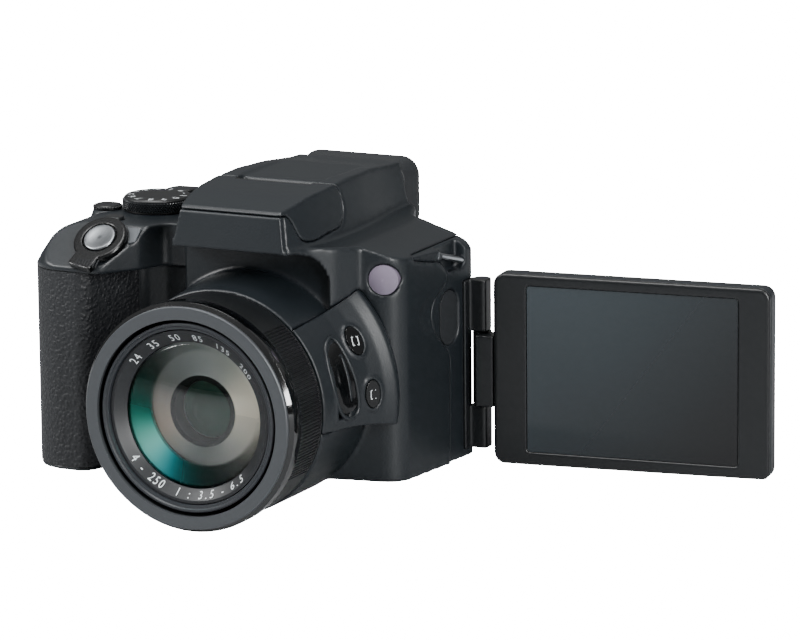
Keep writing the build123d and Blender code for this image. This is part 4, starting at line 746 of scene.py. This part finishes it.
stud = add(studs, "GeometryNodeMeshCone", {"Vertices": entry["Sides"], "Radius Top": 0.12,
                                           "Radius Bottom": 0.5, "Depth": 1.0})
shape = add(studs, "ShaderNodeCombineXYZ", {"X": entry["Width"], "Y": entry["Length"], "Z": entry["Depth"]})
rows = add(studs, "GeometryNodeInstanceOnPoints", {"Points": spots.outputs[0], "Instance": stud.outputs[0],
                                                   "Rotation": upright.outputs[0], "Scale": shape.outputs[0]})
real = add(studs, "GeometryNodeRealizeInstances", {"Geometry": rows.outputs[0]})
painted = add(studs, "GeometryNodeSetMaterial", {"Geometry": real.outputs[0], "Material": entry["Finish"]})
add(studs, "NodeGroupOutput", {0: painted.outputs[0]})

knurl_black, tree, shader = finish_of("cut_knurl_abs", "1B1E21", Roughness=0.22)
grown("mode_dial_knurl", studs, "mode_wheel", at_dial, Finish=knurl_black, Radius=10.05 * mm,
      First_Row=dial_top - 3.4 * mm, Row_Pitch=0.55 * mm, Rows=5, Around=72, Sides=4, Width=0.8 * mm,
      Length=0.95 * mm, Depth=0.5 * mm)
marks = []
dial_signs = "1234567890I-="
for i, sign in enumerate(dial_signs):
    turn = Matrix.Rotation(2 * pi * i / len(dial_signs), 4, "Z")
    on_top = Matrix.Translation((0, 0, dial_top + sign_thick * mm))
    outwards = Matrix.Translation((0, dial_sign_r * mm, 0))
    marks.append((glyph(sign, dial_sign_mm), at_dial @ on_top @ turn @ outwards))
shown("mode_dial_numbers", joined("mode_dial_numbers", marks), white_fill, "mode_wheel")

# Control wheel. A small ABS wheel let into the deck, with fine ribs for the fingertip, over a sloping
# seat of the deck's own plastic.
wheel_x, wheel_y, wheel_top = -56.9 * mm, -14.3 * mm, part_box("control_wheel")[1][2]
seat_r, seat_top_r, seat_high, seat_below = 5.6 * mm, 4.3 * mm, 3.6 * mm, 3.2 * mm
dressed("control_wheel", dial_black)
wheel_seat = bpy.data.meshes.new("wheel_seat")
work = bmesh.new()
bmesh.ops.create_cone(work, cap_ends=True, segments=64, radius1=seat_r, radius2=seat_top_r, depth=seat_high)
work.to_mesh(wheel_seat)
work.free()
wheel_seat.transform(Matrix.Translation((wheel_x, wheel_y, wheel_top - seat_below)))
wheel_seat.polygons.foreach_set("use_smooth", [len(face.vertices) < 5 for face in wheel_seat.polygons])
shown("wheel_seat", wheel_seat, body_plastic, "body")
grown("front_wheel_ribs", studs, "front_wheel", Matrix.Translation((wheel_x, wheel_y, 0)), Finish=dial_black,
      Radius=4.15 * mm, First_Row=wheel_top - 0.65 * mm, Row_Pitch=0.5 * mm, Rows=1, Around=30, Sides=4,
      Width=0.7 * mm, Length=1.3 * mm, Depth=0.3 * mm)

# Zoom lever. A ring round the shutter button with a tab in front, moulded in gloss black ABS and snapped
# over a spring; the tab has a row of ribs for the finger. The shelf that it lies on slopes forward.
shelf_tilt = radians(38.17)
slope = Vector((0, -sin(shelf_tilt), cos(shelf_tilt)))
climb = Vector((0, cos(shelf_tilt), sin(shelf_tilt)))
lever_middle = Vector((-45.4, -38.717, 67.618)) * mm
tab_reach, tab_top = 9.9 * mm, 2.2 * mm
rib_count, rib_pitch = 8, 0.95 * mm
lever_black = moulded("lever_abs", "060708", rough=0.24, grain_mm=0.6, depth_mm=0.004)
rounded_off("zoom_lever", lever_black, voxel_mm=0.2, passes=3)
ribs, entry = tree_of("row_of_ribs", ("Count", "Int"), ("Pitch", "Float"), ("Size", "Vector"),
                      ("Finish", "Material"))
step = add(ribs, "ShaderNodeCombineXYZ", {"X": entry["Pitch"]})
spots = add(ribs, "GeometryNodeMeshLine", {"Count": entry["Count"], "Offset": step.outputs[0]})
bar = add(ribs, "GeometryNodeMeshCube", {"Size": entry["Size"]})
rows = add(ribs, "GeometryNodeInstanceOnPoints", {"Points": spots.outputs[0], "Instance": bar.outputs[0]})
real = add(ribs, "GeometryNodeRealizeInstances", {"Geometry": rows.outputs[0]})
painted = add(ribs, "GeometryNodeSetMaterial", {"Geometry": real.outputs[0], "Material": entry["Finish"]})
add(ribs, "NodeGroupOutput", {0: painted.outputs[0]})
rib_black, tree, shader = finish_of("lever_rib_abs", "17191C", Roughness=0.25)
tab_turn = Matrix((Vector((1, 0, 0)), climb, slope)).transposed().to_4x4()
tab_place = Matrix.Translation(lever_middle - climb * tab_reach + slope * tab_top)
first_rib = Matrix.Translation((-(rib_count - 1) * rib_pitch / 2, 0, 0))
grown("lever_tab_ribs", ribs, "lever", tab_place @ tab_turn @ first_rib, Finish=rib_black, Count=rib_count,
      Pitch=rib_pitch, Size=(0.4 * mm, 2.6 * mm, 0.7 * mm))

# Shutter button. Turned from aluminium with a shallow dish for the fingertip, sprung from below; the
# spun face shines in soft wedges.
spun_metal, tree, shader = finish_of("spun_aluminium", "85888B", Metallic=1.0, Roughness=0.3)
dressed("shutter_button", spun_metal)

# Scale plate. A thin plate painted a cool grey and glued to the shelf beside the lever; it stands a
# little proud of it.
plate_lift = 0.3
scale_paint = moulded("scale_plate_paint", "4A4E52", rough=0.45, grain_mm=0.5, depth_mm=0.01)
scale_plate = dressed("scale_plate", scale_paint)
scale_plate.data.transform(Matrix.Translation(slope * plate_lift * mm))

# Keys. Moulded in one black ABS, each sprung 0.6 mm over its switch. Those on the back carry plain signs
# in white.
back_sign_mm, back_sign_lift = 3.2, 0.04
key_plastic = moulded("key_abs", "131517", rough=0.36, grain_mm=0.5, depth_mm=0.01)
for node in ("deck_button", "power_button", "movie_button", "nav_pad", "set_button", "lock_button",
             "point_button", "play_button", "info_button", "menu_button"):
    dressed(node, key_plastic)
facing = Vector((0, 1, 0)).to_track_quat("Z", "Y").to_matrix().to_4x4()
for node, sign in (("lock_button", "*"), ("point_button", "+"), ("play_button", ">"), ("info_button", "i"),
                   ("menu_button", "="), ("set_button", "o")):
    low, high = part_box(node)
    spot = Vector(((low[0] + high[0]) / 2, high[1] + back_sign_lift * mm, (low[2] + high[2]) / 2))
    mark = joined(node + "_sign", [(glyph(sign, back_sign_mm), Matrix.Translation(spot) @ facing)])
    shown(mark.name, mark, white_fill, nodes[node]["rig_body"])

# Viewfinder. A soft rubber eyecup stretched over the hump's end, its small polished lens, dark because
# nothing lights it from inside, and an ABS dial that focuses it.
rounded_off("eyecup", soft_rubber, voxel_mm=0.45, passes=4)
eye_glass, tree, shader = finish_of("eyepiece_glass", "20262A", Roughness=0.02)
dressed("eyepiece_lens", eye_glass)
dressed("dioptre_dial", dial_black)

# Screen hinge. A bracket of smooth black ABS screwed to the body's edge, and the arm that turns on its
# upright pins and holds the screen's shaft.
rounded_off("hinge_bracket", smooth_plastic, voxel_mm=0.35, passes=3)
rounded_off("screen_arm", smooth_plastic, voxel_mm=0.3, passes=3)

# Screen. A smooth black frame round the display, closed behind by a cover of the body's grained plastic,
# clipped and screwed together.
rounded_off("screen_frame", smooth_plastic, voxel_mm=0.4, passes=3)
rounded_off("screen_back", body_plastic, voxel_mm=0.55, passes=4)
dressed("screen_module", smooth_plastic)

# Screen glass. Tempered glass with a black print round the window, taped to the frame. A painted
# reflection lightens the dark glass from one corner to the other.
reflection_from, reflection_to = -0.105, -0.01
cover_glass, tree, shader = finish_of("screen_cover_glass", "08090B", Roughness=0.05)
# painted reflection: bluish grey towards one corner, fading to near black
place = add(tree, "ShaderNodeTexCoord").outputs["Object"]
across = add(tree, "ShaderNodeVectorMath", {0: place, 1: (-0.8, 0, 0.6)}, operation="DOT_PRODUCT")
depth = add(tree, "ShaderNodeMapRange", {"Value": across.outputs["Value"], "From Min": reflection_from,
                                         "From Max": reflection_to}, interpolation_type="SMOOTHSTEP")
painted_reflection_tint = add(tree, "ShaderNodeMix", {0: depth.outputs["Result"], 6: sheet_colour("060607"),
                                   7: sheet_colour("2A3338")}, data_type="RGBA")
tree.links.new(painted_reflection_tint.outputs[2], shader.inputs["Base Color"])
dressed("screen_glass", cover_glass)
